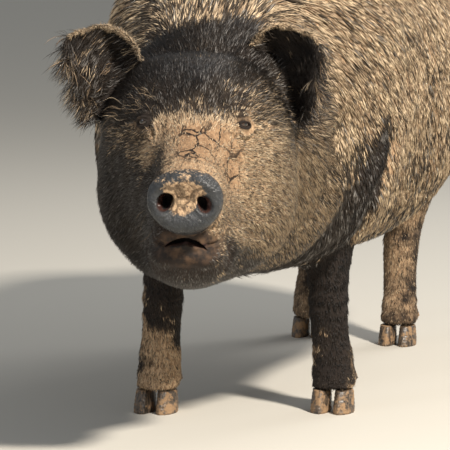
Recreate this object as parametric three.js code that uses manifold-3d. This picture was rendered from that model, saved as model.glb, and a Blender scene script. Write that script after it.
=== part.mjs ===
// A full-grown pig standing square, life size, with its head turned a little to its left.
// Millimetres, +Z up. The pig looks towards -Y and its left side is towards +X.
// The surface is that of the coat, out to the tips of the lying hair.
import * as THREE from 'three';
import { mergeVertices } from 'three/addons/utils/BufferGeometryUtils.js';
import Module from 'manifold-3d';

const wasm = await Module();
wasm.setup();

const degrees = THREE.MathUtils.degToRad;

// ---- driving dimensions ----

const gap = 0.4;                        // clearance between neighbouring pieces
const reach = 2000;                     // longer than any piece, for the cutting blocks

const ringPoints = { trunk: 30, head: 32, jaw: 24, snout: 24, leg: 14, ear: 24, tail: 8, claw: 12 };
const ringStep = { trunk: 60, skull: 30, face: 22, jaw: 25, shin: 30, thigh: 60 };   // between rings
const ball = { around: 10, down: 8 };   // faces of an eyeball, its socket and a nostril

const headPivot = new THREE.Vector3(-1, -285, 450);
const headTurn = degrees(13);           // to the pig's left
const headNod = degrees(8);             // nose down
const headTilt = degrees(1.2);          // left eye higher

const neckCut = { y: -125, z: 480, lean: degrees(14) };   // between neck and trunk
const headCut = 62;                     // behind the head pivot, between head and neck
const jawCut = 203;                     // ahead of the head pivot, at the corners of the mouth
const mouthLine = { corner: -76, front: -58 };  // heights of the parting between lips and lower jaw
const snoutCut = 284;                   // ahead of the head pivot, behind the nose disc

const eye = { radius: 12.5, across: 71, ahead: 134, up: 85 };
const nostril = { across: 28, up: 9, width: 22, height: 29, depth: 32, splay: degrees(12) };

const forefoot = { left: 40, right: -40, across: 142 };   // y of each foot, distance from the midline
const hindfoot = { left: 788, right: 848, across: 94 };
const shoulderY = 6;                    // where the legs join the body, along it
const hipY = 800;
const foreCut = { top: 335, knee: 188 };
const hindCut = { top: 372, hock: 232 };
const coronet = 38;                     // height where leg turns into hoof

// Each claw is pointed towards the toe and flatter on the side of the split. 'toe' is how far it reaches
// ahead of the leg's middle, 'split' is half the space between the claws.
const claw = { length: 66, width: 42, toe: 14, split: 3, across: 13, pointed: 0.35, innerSide: 0.62 };
// Height of each layer of a claw, its share of the full length and width, and how far it is set back.
const clawLayers = [
  { height: 0, length: 1, width: 1, back: 0 },
  { height: 12, length: 0.98, width: 1, back: 2 },
  { height: coronet - gap, length: 0.8, width: 0.88, back: 6 }
];
const dewclaw = { length: 34, root: 21, tip: 13.5, height: 62, across: 21, slope: degrees(38), faces: 8 };
const dewclawBehind = { fore: 33, hind: 39 };   // from the leg's middle

// Trunk and neck along y: y, half width, top, underside, widest height, squareness
const trunkRows = [
  [-330, 116, 598, 322, 445, 2.3],
  [-200, 192, 696, 260, 455, 2.4],
  [-100, 233, 762, 244, 475, 2.55],
  [0, 256, 808, 236, 490, 2.6],
  [120, 262, 827, 236, 500, 2.45],
  [300, 276, 833, 226, 490, 2.25],
  [450, 285, 835, 226, 480, 2.2],
  [600, 277, 830, 256, 492, 2.2],
  [720, 260, 816, 316, 512, 2.2],
  [820, 236, 786, 366, 535, 2.2],
  [900, 206, 738, 420, 560, 2.15],
  [948, 160, 682, 478, 578, 2.1],
  [972, 112, 644, 516, 580, 2],
  [984, 62, 610, 548, 580, 2]
];

// Head ahead of the pivot: place, half width, top, underside, widest height, squareness above, below
const headRows = [
  [-130, 112, 142, -128, -14, 2.2, 2.2],
  [-70, 134, 154, -150, -28, 2.4, 2.2],
  [-20, 151, 164, -165, -42, 2.6, 2.1],
  [30, 158, 168, -176, -52, 2.6, 2],
  [80, 153, 160, -180, -58, 2.4, 2],
  [118, 134, 141, -174, -56, 2.2, 2.1],
  [150, 107, 114, -132, -48, 2.05, 2.4],
  [185, 84, 87, -90, -30, 2, 3],
  [230, 67, 67, -70, -14, 2.1, 3.4],
  [284, 56, 55, -57, -4, 2.2, 2.8]
];

// Lower jaw: place, half width, top, underside
const jawRows = [
  [100, 124, -62, -176],
  [130, 112, -54, -175],
  [165, 94, -48, -170],
  [205, 75, -50, -159],
  [245, 61, -59, -143],
  [276, 52, -62, -126],
  [298, 41, -62, -105]
];

// The front edge of the lower lip
const lip = { ahead: 306, halfWidth: 27, top: -66, bottom: -93, widest: -78 };

// Nose: place, half width, top, underside, from the groove behind the disc to its face
const snoutRows = [
  [284, 57, 55, -55],
  [296, 51, 49, -50],
  [308, 54, 53, -49],
  [320, 55, 54, -49],
  [328, 54, 52, -46],
  [332, 48, 45, -39],
  [333, 28, 26, -20]
];

// Fore leg by height: height, offset across, offset along, half width, half depth
const foreRows = [
  [coronet, 0, -2, 42, 42],
  [60, -1, 2, 39, 38],
  [88, -2, 4, 38, 38],
  [125, -6, 0, 34, 33],
  [165, -9, -3, 36, 38],
  [195, -9, -2, 37, 41],
  [240, -11, 4, 40, 48],
  [300, -10, 12, 50, 62],
  [350, 0, 18, 66, 84],
  [430, 18, 22, 92, 120],
  [530, 20, 22, 94, 128],
  [640, 6, 22, 66, 92],
  [710, -8, 22, 34, 50]
];

// Hind leg by height, in the same way
const hindRows = [
  [coronet, 0, 0, 42, 42],
  [60, 0, 2, 39, 39],
  [88, 0, 8, 37, 38],
  [130, -2, 15, 34, 35],
  [180, -2, 22, 36, 42],
  [235, 4, 26, 40, 54],
  [280, 14, 10, 48, 62],
  [330, 28, -14, 64, 88],
  [400, 48, -28, 90, 124],
  [500, 62, -8, 104, 146],
  [600, 52, -2, 88, 128],
  [690, 30, -10, 52, 84]
];

// Ear rim, ahead of the head pivot: across, ahead, up. It runs from the inner base over the top to the tip,
// down the outer edge and back along the base.
const earRim = [
  [84, -4, 160],
  [104, 0, 190],
  [134, 6, 205],
  [172, 24, 200],
  [204, 46, 186],
  [200, 50, 154],
  [190, 44, 120],
  [180, 36, 88],
  [158, 26, 60],
  [130, 14, 66],
  [104, 2, 96],
  [88, -4, 128]
];
const earBowl = { middle: [138, 4, 136], depth: 36, thickness: 12, lean: 0.3 };
// The left ear is carried higher and closer in than the right: how far its tip is raised and spread.
const earPose = { left: { lift: 12, spread: -18 }, right: { lift: 3, spread: 10 } };

// Places that swell (or sink) on both sides: across, along and height on the trunk ...
const trunkSwells = [
  { at: [256, 20, 540], size: 120, height: 8 },     // shoulder blade
  { at: [264, 165, 385], size: 80, height: -18 },   // hollow behind the elbow
  { at: [256, 660, 350], size: 80, height: -14 },   // flank ahead of the thigh
  { at: [205, 770, 720], size: 100, height: 8 },    // hip
  { at: [60, -160, 262], size: 70, height: 6 }      // breast
];

// ... and across, ahead and up on the head.
const headSwells = [
  { at: [60, 116, 126], size: 30, height: 8 },      // brow
  { at: [106, 96, 30], size: 46, height: 5 },       // cheek bone
  { at: [84, 138, 84], size: 24, height: -3 },      // orbit
  { at: [0, 152, 96], size: 30, height: 4 },        // root of the nose
  { at: [68, 205, 18], size: 34, height: -4 },      // side of the nose
  { at: [112, 116, -100], size: 44, height: 7 }     // jowl
];

// Tail: across, along, height, radius
const tailRows = [
  [0, 925, 708, 27],
  [4, 988, 688, 21],
  [12, 1018, 622, 16],
  [8, 1008, 548, 13],
  [-10, 1012, 482, 10],
  [-24, 1028, 436, 7]
];

// ---- materials ----

const finishes = {
  hide: { color: '#5a4a3b', roughness: 0.95 },
  mudCaked: { color: '#8a7257', roughness: 1 },
  face: { color: '#4a4038', roughness: 0.95 },
  wetNose: { color: '#3a3330', roughness: 0.45 },
  darkLeg: { color: '#2e2620', roughness: 0.95 },
  horn: { color: '#2b2521', roughness: 0.8 },
  eyeball: { color: '#120c0a', roughness: 0.12 }
};

function finish(name) {
  return new THREE.MeshStandardMaterial({ ...finishes[name], metalness: 0 });
}

// ---- shape helpers ----

// Smooth curves through rows of [place, size, size, ...]; gives the sizes at any place between.
function profile(rows) {
  const width = rows[0].length - 1;
  const places = rows.map((row) => row[0]);
  const sizes = rows.flatMap((row) => row.slice(1));
  const curve = new THREE.CubicInterpolant(places, sizes, width, new Float64Array(width));
  return (place) => [...curve.evaluate(place)];
}

// Places from one end to the other, a step or less apart.
function steps(from, to, step) {
  const count = Math.ceil((to - from) / step);
  return Array.from({ length: count + 1 }, (_, i) => from + ((to - from) * i) / count);
}

const squared = (value, power) => Math.sign(value) * Math.abs(value) ** (2 / power);

// A closed ring: 'power' 2 is an ellipse and more is squarer, above and below the widest line.
function ring(count, { halfWidth, top, bottom, widest, above = 2, below = 2 }, place) {
  return Array.from({ length: count }, (_, i) => {
    const angle = (2 * Math.PI * i) / count;
    const power = Math.sin(angle) < 0 ? below : above;
    const rise = squared(Math.sin(angle), power);
    const height = rise < 0 ? widest + rise * (widest - bottom) : widest + rise * (top - widest);
    return place(halfWidth * squared(Math.cos(angle), power), height);
  });
}

function middleOf(points) {
  const sum = points.reduce((total, point) => total.add(point), new THREE.Vector3());
  return sum.divideScalar(points.length);
}

// One closed surface over a row of rings, with a fan over each end.
function loft(rings) {
  const count = rings[0].length;
  const points = [...rings.flat(), middleOf(rings[0]), middleOf(rings.at(-1))];
  const faces = [];
  for (let row = 0; row < rings.length - 1; row += 1) {
    for (let i = 0; i < count; i += 1) {
      const a = row * count + i;
      const b = row * count + ((i + 1) % count);
      faces.push(a, b, a + count, b, b + count, a + count);
    }
  }
  const start = (rings.length - 1) * count;
  for (let i = 0; i < count; i += 1) {
    const next = (i + 1) % count;
    faces.push(points.length - 2, next, i);
    faces.push(points.length - 1, start + i, start + next);
  }
  const geometry = new THREE.BufferGeometry().setFromPoints(points);
  geometry.setIndex(faces);
  return solid(geometry);
}

// A closed geometry as a solid that can be joined and cut, turned right side out.
function solid(geometry) {
  const bare = geometry.clone();
  bare.deleteAttribute('normal');
  bare.deleteAttribute('uv');
  const merged = mergeVertices(bare, 1e-4);
  const vertProperties = new Float32Array(merged.attributes.position.array);
  const triVerts = new Uint32Array(merged.index.array);
  if (signedVolume(vertProperties, triVerts) < 0) {
    for (let i = 0; i < triVerts.length; i += 3) {
      [triVerts[i], triVerts[i + 1]] = [triVerts[i + 1], triVerts[i]];
    }
  }
  return new wasm.Manifold(new wasm.Mesh({ numProp: 3, vertProperties, triVerts }));
}

function signedVolume(positions, triangles) {
  const corner = (i) => new THREE.Vector3().fromArray(positions, 3 * triangles[i]);
  let volume = 0;
  for (let i = 0; i < triangles.length; i += 3) {
    volume += corner(i).dot(corner(i + 1).cross(corner(i + 2))) / 6;
  }
  return volume;
}

function block(low, high, matrix = new THREE.Matrix4()) {
  const size = high.map((value, axis) => value - low[axis]);
  const middle = high.map((value, axis) => (value + low[axis]) / 2);
  return solid(new THREE.BoxGeometry(...size).translate(...middle).applyMatrix4(matrix));
}

function largest(body) {
  return body.decompose().sort((a, b) => b.volume() - a.volume())[0];
}

function piece(name, body, look, group, matrix = new THREE.Matrix4()) {
  const { vertProperties, triVerts } = body.getMesh();
  const geometry = new THREE.BufferGeometry();
  geometry.setAttribute('position', new THREE.BufferAttribute(vertProperties, 3));
  geometry.setIndex(new THREE.BufferAttribute(triVerts, 1));
  geometry.applyMatrix4(matrix);
  geometry.computeVertexNormals();
  const mesh = new THREE.Mesh(geometry, finish(look));
  mesh.name = name;
  group.add(mesh);
  return mesh;
}

// ---- the whole body, before it is parted ----

const pig = new THREE.Group();
const headGroup = new THREE.Group();
headGroup.position.copy(headPivot);
headGroup.rotation.set(headNod, headTilt, headTurn, 'ZYX');
headGroup.updateMatrixWorld();
pig.add(headGroup);
const toBody = headGroup.matrixWorld.clone();
const toHead = toBody.clone().invert();

// Moves a point in or out by the swells round it; 'outward' gives the way out at a swell's middle.
function swell(point, swells, outward) {
  const moved = point.clone();
  swells.forEach(({ at: [x, y, z], size, height }) => {
    const centre = new THREE.Vector3(point.x < 0 ? -x : x, y, z);
    const away = point.distanceTo(centre) / size;
    moved.addScaledVector(outward(centre), height * Math.exp(-away * away));
  });
  return moved;
}

// Half width, top and underside 'margin' larger than a row says.
function enlarged([halfWidth, top, bottom, widest, above = 2, below = above], margin) {
  return {
    halfWidth: halfWidth + margin,
    top: top + margin,
    bottom: bottom - margin,
    widest,
    above,
    below
  };
}

// Trunk and neck in one, 'margin' larger all over.
function trunkForm(margin) {
  const sizes = profile(trunkRows);
  const last = trunkRows.at(-1)[0];
  const outward = ({ x, z }) => new THREE.Vector3(x, 0, z - 500).normalize();
  const rump = [932, 958, 974, last];
  return loft([...steps(trunkRows[0][0], 900, ringStep.trunk), ...rump].map((y) => {
    const shift = y === last ? margin : 0;
    return ring(ringPoints.trunk, enlarged(sizes(y), margin), (x, z) => {
      return swell(new THREE.Vector3(x, y + shift, z), trunkSwells, outward);
    });
  }));
}

// A point given ahead of the head pivot.
const inHead = (across, ahead, up) => new THREE.Vector3(across, -ahead, up);

function headForm(margin) {
  const sizes = profile(headRows);
  const swells = headSwells.map((place) => ({ ...place, at: inHead(...place.at).toArray() }));
  const outward = ({ x, z }) => new THREE.Vector3(x, -60, z).normalize();
  const first = headRows[0][0];
  const places = [first, ...steps(-70, 80, ringStep.skull), ...steps(101, snoutCut - gap, ringStep.face)];
  const skull = loft(places.map((ahead) => {
    return ring(ringPoints.head, enlarged(sizes(ahead), margin), (x, z) => {
      return swell(inHead(x, ahead, z), swells, outward);
    });
  }));
  return skull.add(jawForm(margin));
}

function jawForm(margin) {
  const sizes = profile(jawRows);
  const front = jawRows.at(-1)[0];
  const rings = steps(jawRows[0][0], front, ringStep.jaw).map((ahead) => {
    const [halfWidth, top, bottom] = sizes(ahead);
    const widest = THREE.MathUtils.lerp(bottom, top, 0.6);
    const size = { ...enlarged([halfWidth, top, bottom, widest, 4, 2.3], margin), top };
    return ring(ringPoints.jaw, size, (x, z) => inHead(x, ahead, z));
  });
  return loft([...rings, ring(ringPoints.jaw, lip, (x, z) => inHead(x, lip.ahead, z))]);
}

// Everything below the line of the mouth and ahead of its corners.
function jawRegion(margin) {
  const outline = new THREE.Shape();
  outline.moveTo(jawCut - margin, -reach);
  outline.lineTo(jawCut - margin, mouthLine.corner + margin);
  outline.lineTo(snoutCut, mouthLine.front + margin);
  outline.lineTo(reach, mouthLine.front + margin);
  outline.lineTo(reach, -reach);
  const geometry = new THREE.ExtrudeGeometry(outline, { depth: 2 * reach, bevelEnabled: false });
  // The outline is drawn ahead and up, so it is stood on its edge: ahead becomes -Y, up stays Z.
  const stand = new THREE.Matrix4().makeBasis(
    new THREE.Vector3(0, -1, 0),
    new THREE.Vector3(0, 0, 1),
    new THREE.Vector3(-1, 0, 0)
  );
  return solid(geometry.translate(0, 0, -reach).applyMatrix4(stand));
}

function legForm(rows, foot, side, margin, yRoot) {
  const sizes = profile(rows);
  const footY = side > 0 ? foot.left : foot.right;
  const top = rows.at(-1)[0];
  const heights = [...steps(rows[0][0], 300, ringStep.shin), ...steps(350, top, ringStep.thigh)];
  return loft(heights.map((height) => {
    const [across, along, halfWidth, halfDepth] = sizes(height);
    const hang = THREE.MathUtils.smoothstep(height, 150, 520);
    const y = THREE.MathUtils.lerp(footY, yRoot, hang) + along;
    const x = side * (foot.across + across);
    const size = enlarged([halfWidth, halfDepth, -halfDepth, 0, 2.2], margin);
    return ring(ringPoints.leg, size, (dx, dy) => new THREE.Vector3(x + dx, y + dy, height));
  }));
}

const foreForm = (side, margin) => legForm(foreRows, forefoot, side, margin, shoulderY);
const hindForm = (side, margin) => legForm(hindRows, hindfoot, side, margin, hipY);

// ---- parting the body ----

const flesh = [foreForm(1, 0), foreForm(-1, 0), hindForm(1, 0), hindForm(-1, 0)].reduce(
  (body, leg) => body.add(leg),
  trunkForm(0)
);
const headShape = headForm(0);
const everything = flesh.add(headShape.transform(toBody.elements));

// Everything ahead of a plane behind the head, moved 'shift' forward.
const aheadOfNeck = (shift) => block([-reach, -reach, -reach], [reach, headCut - shift, reach], toBody);

// Everything ahead of the leaning plane between neck and trunk.
function aheadOfTrunk(shift) {
  const lean = new THREE.Matrix4().makeRotationX(neckCut.lean);
  lean.setPosition(0, neckCut.y, neckCut.z);
  return block([-reach, -reach, -reach], [reach, -shift, reach], lean);
}

function addTrunk() {
  const below = (top) => block([-reach, -reach, -reach], [reach, reach, top + gap]);
  const legs = [1, -1].flatMap((side) => [
    foreForm(side, gap).intersect(below(foreCut.top)),
    hindForm(side, gap).intersect(below(hindCut.top))
  ]);
  const whole = everything.subtract(aheadOfTrunk(0));
  piece('trunk', largest(legs.reduce((body, leg) => body.subtract(leg), whole)), 'mudCaked', pig);
}

function addNeck() {
  const neck = everything.intersect(aheadOfTrunk(gap)).subtract(aheadOfNeck(0));
  const legs = [1, -1].map((side) => foreForm(side, gap));
  piece('neck', largest(legs.reduce((body, leg) => body.subtract(leg), neck)), 'hide', pig);
}

// ---- head, nose, jaw, ears and eyes, in the head's own group ----

function eyePlace(side) {
  return inHead(side * eye.across, eye.ahead, eye.up);
}

function addHead() {
  const whole = everything.intersect(aheadOfNeck(gap)).transform(toHead.elements);
  const sockets = [1, -1].map((side) => {
    const geometry = new THREE.SphereGeometry(eye.radius + gap, ball.around, ball.down);
    return solid(geometry.translate(...eyePlace(side)));
  });
  const cut = sockets.reduce((body, socket) => body.subtract(socket), whole.subtract(jawRegion(gap)));
  piece('head', largest(cut), 'face', headGroup);
  piece('lower_jaw', largest(whole.intersect(jawRegion(0))), 'face', headGroup);
}

function addSnout() {
  const sizes = profile(snoutRows);
  const front = snoutRows.at(-1)[0];
  let disc = loft([snoutCut, 290, 297, 306, 316, 324, 329, 332, front].map((ahead) => {
    const [halfWidth, top, bottom] = sizes(ahead);
    const size = { halfWidth, top, bottom, widest: 8, above: 2.25, below: 1.9 };
    return ring(ringPoints.snout, size, (x, z) => inHead(x, ahead, z));
  }));
  [1, -1].forEach((side) => {
    const radii = [nostril.width / 2, nostril.depth, nostril.height / 2];
    const hole = new THREE.SphereGeometry(1, ball.around, ball.down).scale(...radii);
    hole.rotateZ(side * nostril.splay);
    disc = disc.subtract(solid(hole.translate(side * nostril.across, -front, nostril.up)));
  });
  piece('snout', disc, 'wetNose', headGroup);
}

// A bowl whose rim is a closed curve; its hollow faces ahead and it is cut to the head at its base.
function addEar(name, side, { lift, spread }) {
  const lowest = Math.min(...earRim.map(([, , z]) => z));
  const highest = Math.max(...earRim.map(([, , z]) => z));
  const posed = ([x, ahead, z]) => {
    const share = (z - lowest) / (highest - lowest);
    return inHead(side * (x + spread * share), ahead, z + lift * share);
  };
  const rim = new THREE.CatmullRomCurve3(earRim.map(posed), true);
  const edge = rim.getPoints(ringPoints.ear).slice(0, -1);
  const middle = posed(earBowl.middle);
  // One ring of the bowl, at a share of the way from its middle to the rim, 'back' behind the hollow's face.
  const hollow = (share, back = 0) => edge.map((point) => {
    const behind = earBowl.depth * (1 - share * share);
    const moved = middle.clone().lerp(point, share);
    return moved.add(new THREE.Vector3(-side * behind * earBowl.lean, behind + back, 0));
  });
  const inner = [0.08, 0.42, 0.74, 0.96].map((share) => hollow(share));
  const edgeOfRim = edge.map((point) => point.clone().add(new THREE.Vector3(0, earBowl.thickness / 2, 0)));
  const outer = [0.95, 0.76, 0.44, 0.08].map((share) => hollow(share, earBowl.thickness));
  const bowl = loft([...inner, edgeOfRim, ...outer]);
  const inBody = bowl.transform(toBody.elements);
  const skull = headForm(gap).transform(toBody.elements);
  const ear = inBody.subtract(skull).subtract(trunkForm(gap));
  piece(name, largest(ear), 'hide', headGroup, toHead);
}

function addEye(name, side) {
  const eyeball = new THREE.SphereGeometry(eye.radius, ball.around, ball.down);
  const mesh = new THREE.Mesh(eyeball, finish('eyeball'));
  mesh.position.copy(eyePlace(side));
  mesh.name = name;
  headGroup.add(mesh);
}

// ---- legs, hooves and dewclaws ----

function between(body, low, high) {
  return body.intersect(block([-reach, -reach, low], [reach, reach, high]));
}

// One claw of a cloven hoof: flat sole, sloping toe, straight inner wall. 'inward' is the side of the split.
function clawForm(x, y, inward) {
  return loft(clawLayers.map(({ height, length, width, back }) => {
    return Array.from({ length: ringPoints.claw }, (_, i) => {
      const angle = (2 * Math.PI * i) / ringPoints.claw;
      const along = Math.cos(angle);
      const across = Math.sin(angle);
      const pointed = along < 0 ? 1 - claw.pointed * along * along : 1;
      const inner = across * inward > 0 ? claw.innerSide : 1;
      return new THREE.Vector3(
        x + squared(across, 2.4) * (claw.width / 2) * width * pointed * inner,
        y + back + squared(along, 2.2) * (claw.length / 2) * length,
        height
      );
    });
  }));
}

// A short blunt spur that slopes down and back behind the leg.
function dewclawForm(x, y) {
  const horn = new THREE.CylinderGeometry(dewclaw.tip / 2, dewclaw.root / 2, dewclaw.length, dewclaw.faces);
  const pointing = new THREE.Matrix4().makeRotationX(degrees(90) + dewclaw.slope);
  pointing.setPosition(x, y, dewclaw.height);
  return solid(horn.applyMatrix4(pointing));
}

function addLeg(kind, sideName) {
  const fore = kind === 'fore';
  const side = sideName === 'left' ? 1 : -1;
  const form = fore ? foreForm : hindForm;
  const foot = fore ? forefoot : hindfoot;
  const top = fore ? foreCut.top : hindCut.top;
  const split = fore ? foreCut.knee : hindCut.hock;
  const look = fore ? 'darkLeg' : 'hide';
  const leg = form(side, 0);
  piece(`${kind}leg_${sideName}_upper`, between(leg, split + gap, top), look, pig);
  piece(`${kind}leg_${sideName}_lower`, between(leg, coronet, split), look, pig);
  const footX = side * foot.across;
  const footY = foot[sideName];
  const clearance = form(side, gap);
  [['inner', -side], ['outer', side]].forEach(([label, way]) => {
    const clawX = footX + way * (claw.across + claw.split);
    piece(`hoof_${kind}_${sideName}_${label}`, clawForm(clawX, footY - claw.toe, -way), 'horn', pig);
    const spur = dewclawForm(footX + way * dewclaw.across, footY + dewclawBehind[kind]);
    piece(`dewclaw_${kind}_${sideName}_${label}`, largest(spur.subtract(clearance)), 'horn', pig);
  });
}

// ---- tail ----

function addTail() {
  const path = new THREE.CatmullRomCurve3(tailRows.map(([x, y, z]) => new THREE.Vector3(x, y, z)));
  const count = 14;
  const frames = path.computeFrenetFrames(count, false);
  const thickness = profile(tailRows.map(([, , , radius], i) => [i / (tailRows.length - 1), radius]));
  const rings = Array.from({ length: count + 1 }, (_, i) => {
    const centre = path.getPointAt(i / count);
    const [radius] = thickness(i / count);
    return ring(ringPoints.tail, { halfWidth: radius, top: radius, bottom: -radius, widest: 0 }, (a, b) => {
      return centre.clone().addScaledVector(frames.normals[i], a).addScaledVector(frames.binormals[i], b);
    });
  });
  piece('tail', largest(loft(rings).subtract(trunkForm(gap))), 'darkLeg', pig);
}

addTrunk();
addNeck();
addHead();
addSnout();
addEar('ear_left', 1, earPose.left);
addEar('ear_right', -1, earPose.right);
addEye('eye_left', 1);
addEye('eye_right', -1);
['left', 'right'].forEach((side) => {
  addLeg('fore', side);
  addLeg('hind', side);
});
addTail();

// Stand the pig on the origin, with the middle of its outline over it.
const box = new THREE.Box3().setFromObject(pig);
pig.position.set(-(box.min.x + box.max.x) / 2, -(box.min.y + box.max.y) / 2, -box.min.z);

export default pig;
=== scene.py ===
import math
import bpy
import bmesh
import numpy as np
from mathutils import Matrix, Vector
from mathutils.bvhtree import BVHTree
from mathutils.kdtree import KDTree


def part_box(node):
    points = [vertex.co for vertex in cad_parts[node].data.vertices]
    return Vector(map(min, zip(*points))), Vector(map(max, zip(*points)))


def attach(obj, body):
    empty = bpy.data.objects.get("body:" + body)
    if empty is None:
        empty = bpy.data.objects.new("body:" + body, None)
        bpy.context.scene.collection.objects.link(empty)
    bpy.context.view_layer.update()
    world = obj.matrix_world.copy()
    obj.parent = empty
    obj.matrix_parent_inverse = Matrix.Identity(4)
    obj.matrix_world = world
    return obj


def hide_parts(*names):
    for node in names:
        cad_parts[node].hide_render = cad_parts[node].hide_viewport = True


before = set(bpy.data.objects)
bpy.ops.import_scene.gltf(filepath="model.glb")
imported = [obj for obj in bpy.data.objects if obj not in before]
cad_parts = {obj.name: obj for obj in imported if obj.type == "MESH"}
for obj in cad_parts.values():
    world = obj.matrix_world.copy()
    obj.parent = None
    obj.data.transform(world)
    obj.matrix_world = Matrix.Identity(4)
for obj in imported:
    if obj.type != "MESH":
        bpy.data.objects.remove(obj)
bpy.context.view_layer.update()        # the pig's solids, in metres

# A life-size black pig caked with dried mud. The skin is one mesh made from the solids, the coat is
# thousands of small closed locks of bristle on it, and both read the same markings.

print("stage: solids loaded")

mm = 0.001


# Small helpers

def linearColour(hexValue):
    parts = [int(hexValue[i:i + 2], 16) / 255 for i in (1, 3, 5)]
    return tuple(p / 12.92 if p <= 0.04045 else ((p + 0.055) / 1.055) ** 2.4 for p in parts) + (1.0,)


def addNode(tree, kind, values, output=None):
    # each value is a setting, a number, a hex colour or an earlier node's output
    node = tree.nodes.new("ShaderNode" + kind)
    for name, value in values.items():
        if isinstance(name, str) and hasattr(node, name):
            setattr(node, name, value)
        elif isinstance(value, bpy.types.NodeSocket):
            tree.links.new(value, node.inputs[name])
        else:
            node.inputs[name].default_value = linearColour(value) if isinstance(value, str) else value
    return node.outputs[output] if output else node


def newMaterial(name):
    material = bpy.data.materials.new(name)
    material.use_nodes = True
    material.node_tree.nodes.clear()
    return material, material.node_tree


def meshObject(name, points, faces):
    corners = np.asarray(faces, np.int32)
    mesh = bpy.data.meshes.new(name)
    mesh.vertices.add(len(points))
    mesh.vertices.foreach_set("co", np.asarray(points, np.float32).ravel())
    mesh.loops.add(corners.size)
    mesh.loops.foreach_set("vertex_index", corners.ravel())
    mesh.polygons.add(len(corners))
    mesh.polygons.foreach_set("loop_start", np.arange(0, corners.size, corners.shape[1], dtype=np.int32))
    mesh.update(calc_edges=True)
    piece = bpy.data.objects.new(name, mesh)
    bpy.context.scene.collection.objects.link(piece)
    return piece


def setAttribute(mesh, name, values):
    layer = mesh.attributes.get(name) or mesh.attributes.new(name, "FLOAT", "POINT")
    layer.data.foreach_set("value", np.asarray(values, np.float32))


def smoothStep(low, high, value):
    share = np.clip((value - low) / (high - low), 0, 1)
    return share * share * (3 - 2 * share)


def unit(vectors):
    return vectors / np.maximum(np.linalg.norm(vectors, axis=-1, keepdims=True), 1e-9)


def cellNoise(points, size, seed):
    # smooth random values, -1 to 1, that change over 'size' metres
    scaled = points / size + seed * 17.31
    cell = np.floor(scaled).astype(np.int64)
    share = scaled - cell
    share = share * share * (3 - 2 * share)
    total = np.zeros(len(points))
    for corner in range(8):
        step = np.array([corner & 1, corner >> 1 & 1, corner >> 2 & 1])
        key = (cell + step) @ np.array([73856093, 19349663, 83492791])
        value = (key ^ (key >> 13)) * 1274126177 % 1048576 / 524288 - 1
        weight = np.where(step, share, 1 - share).prod(1)
        total += value * weight
    return total


def curveThrough(places, step):
    # a smooth line through a few places, one point each 'step'
    places = [Vector(p) for p in places]
    line = []
    for i in range(len(places) - 1):
        before = places[max(i - 1, 0)]
        start, end = places[i], places[i + 1]
        after = places[min(i + 2, len(places) - 1)]
        count = max(1, math.ceil((end - start).length / step))
        for k in range(count):
            t = k / count
            line.append(0.5 * (2 * start + (end - before) * t
                               + (2 * before - 5 * start + 4 * end - after) * t ** 2
                               + (3 * start - before - 3 * end + after) * t ** 3))
    line.append(places[-1])
    return line


def distanceTo(points, line):
    # nearest distance from each point to a line of points, and how far along the line that is, 0 to 1
    line = np.array(line)
    nearest = np.full(len(points), 1e3)
    along = np.zeros(len(points))
    low, high = line.min(0) - 0.06, line.max(0) + 0.06
    close = np.flatnonzero(((points > low) & (points < high)).all(1))
    for i in range(len(line) - 1):
        start, way = line[i], line[i + 1] - line[i]
        offset = points[close] - start
        t = np.clip(offset @ way / max(way @ way, 1e-12), 0, 1)
        far = np.linalg.norm(offset - t[:, None] * way, axis=1)
        better = far < nearest[close]
        nearest[close[better]] = far[better]
        along[close[better]] = (i + t[better]) / (len(line) - 1)
    return nearest, along


# Places on the body

trunkLow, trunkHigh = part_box("trunk")


def bodyPlace(across, along, up):
    # across -1 right to 1 left, along 0 breast to 1 rump, up 0 belly to 1 back
    middle = (trunkLow + trunkHigh) / 2
    half = (trunkHigh - trunkLow) / 2
    return Vector((middle.x + across * half.x,
                   trunkLow.y + along * 2 * half.y,
                   trunkLow.z + up * 2 * half.z))


headPose = {"turn": 13, "tilt": 1.2, "nod": 8}     # degrees: to its left, left eye up, nose down
eyeInHead = Vector((0, -0.134, 0.085))             # middle between the eyes, from the head's pivot

headTurn = (Matrix.Rotation(math.radians(headPose["turn"]), 3, "Z")
            @ Matrix.Rotation(math.radians(headPose["tilt"]), 3, "Y")
            @ Matrix.Rotation(math.radians(headPose["nod"]), 3, "X"))
eyeMiddle = {side: sum(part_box("eye_" + side), Vector()) / 2 for side in ("left", "right")}
headPivot = (eyeMiddle["left"] + eyeMiddle["right"]) / 2 - headTurn @ eyeInHead


def headPlace(across, ahead, up):
    # millimetres from the head's pivot, to its left, towards the nose and up
    return headPivot + headTurn @ (Vector((across, -ahead, up)) * mm)


noseAxis = np.array(headTurn @ Vector((0, -1, 0)))


def inHead(points):
    # the same millimetres for many points
    local = (points - np.array(headPivot)) @ np.array(headTurn) / mm
    return local * np.array([1, -1, 1])


# Camera, floor and light

stageLook = {
    "camera": (1.1917, -4.6459, 0.8225), "turn": 15.5, "pitch": 6.33, "lens": 222.6,
    "floor": "#C9C5BB", "sky": "#EEF1F4", "skyStrength": 0.36,
    "key": 560, "fill": 26, "rim": 60,
}


def makeCamera():
    camera = bpy.data.objects.new("camera", bpy.data.cameras.new("camera"))
    camera.data.lens = stageLook["lens"]
    camera.data.sensor_width = 36
    camera.data.clip_end = 100
    camera.location = stageLook["camera"]
    camera.rotation_euler = (math.radians(90 - stageLook["pitch"]), 0, math.radians(stageLook["turn"]))
    bpy.context.scene.collection.objects.link(camera)
    bpy.context.scene.camera = camera


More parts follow.
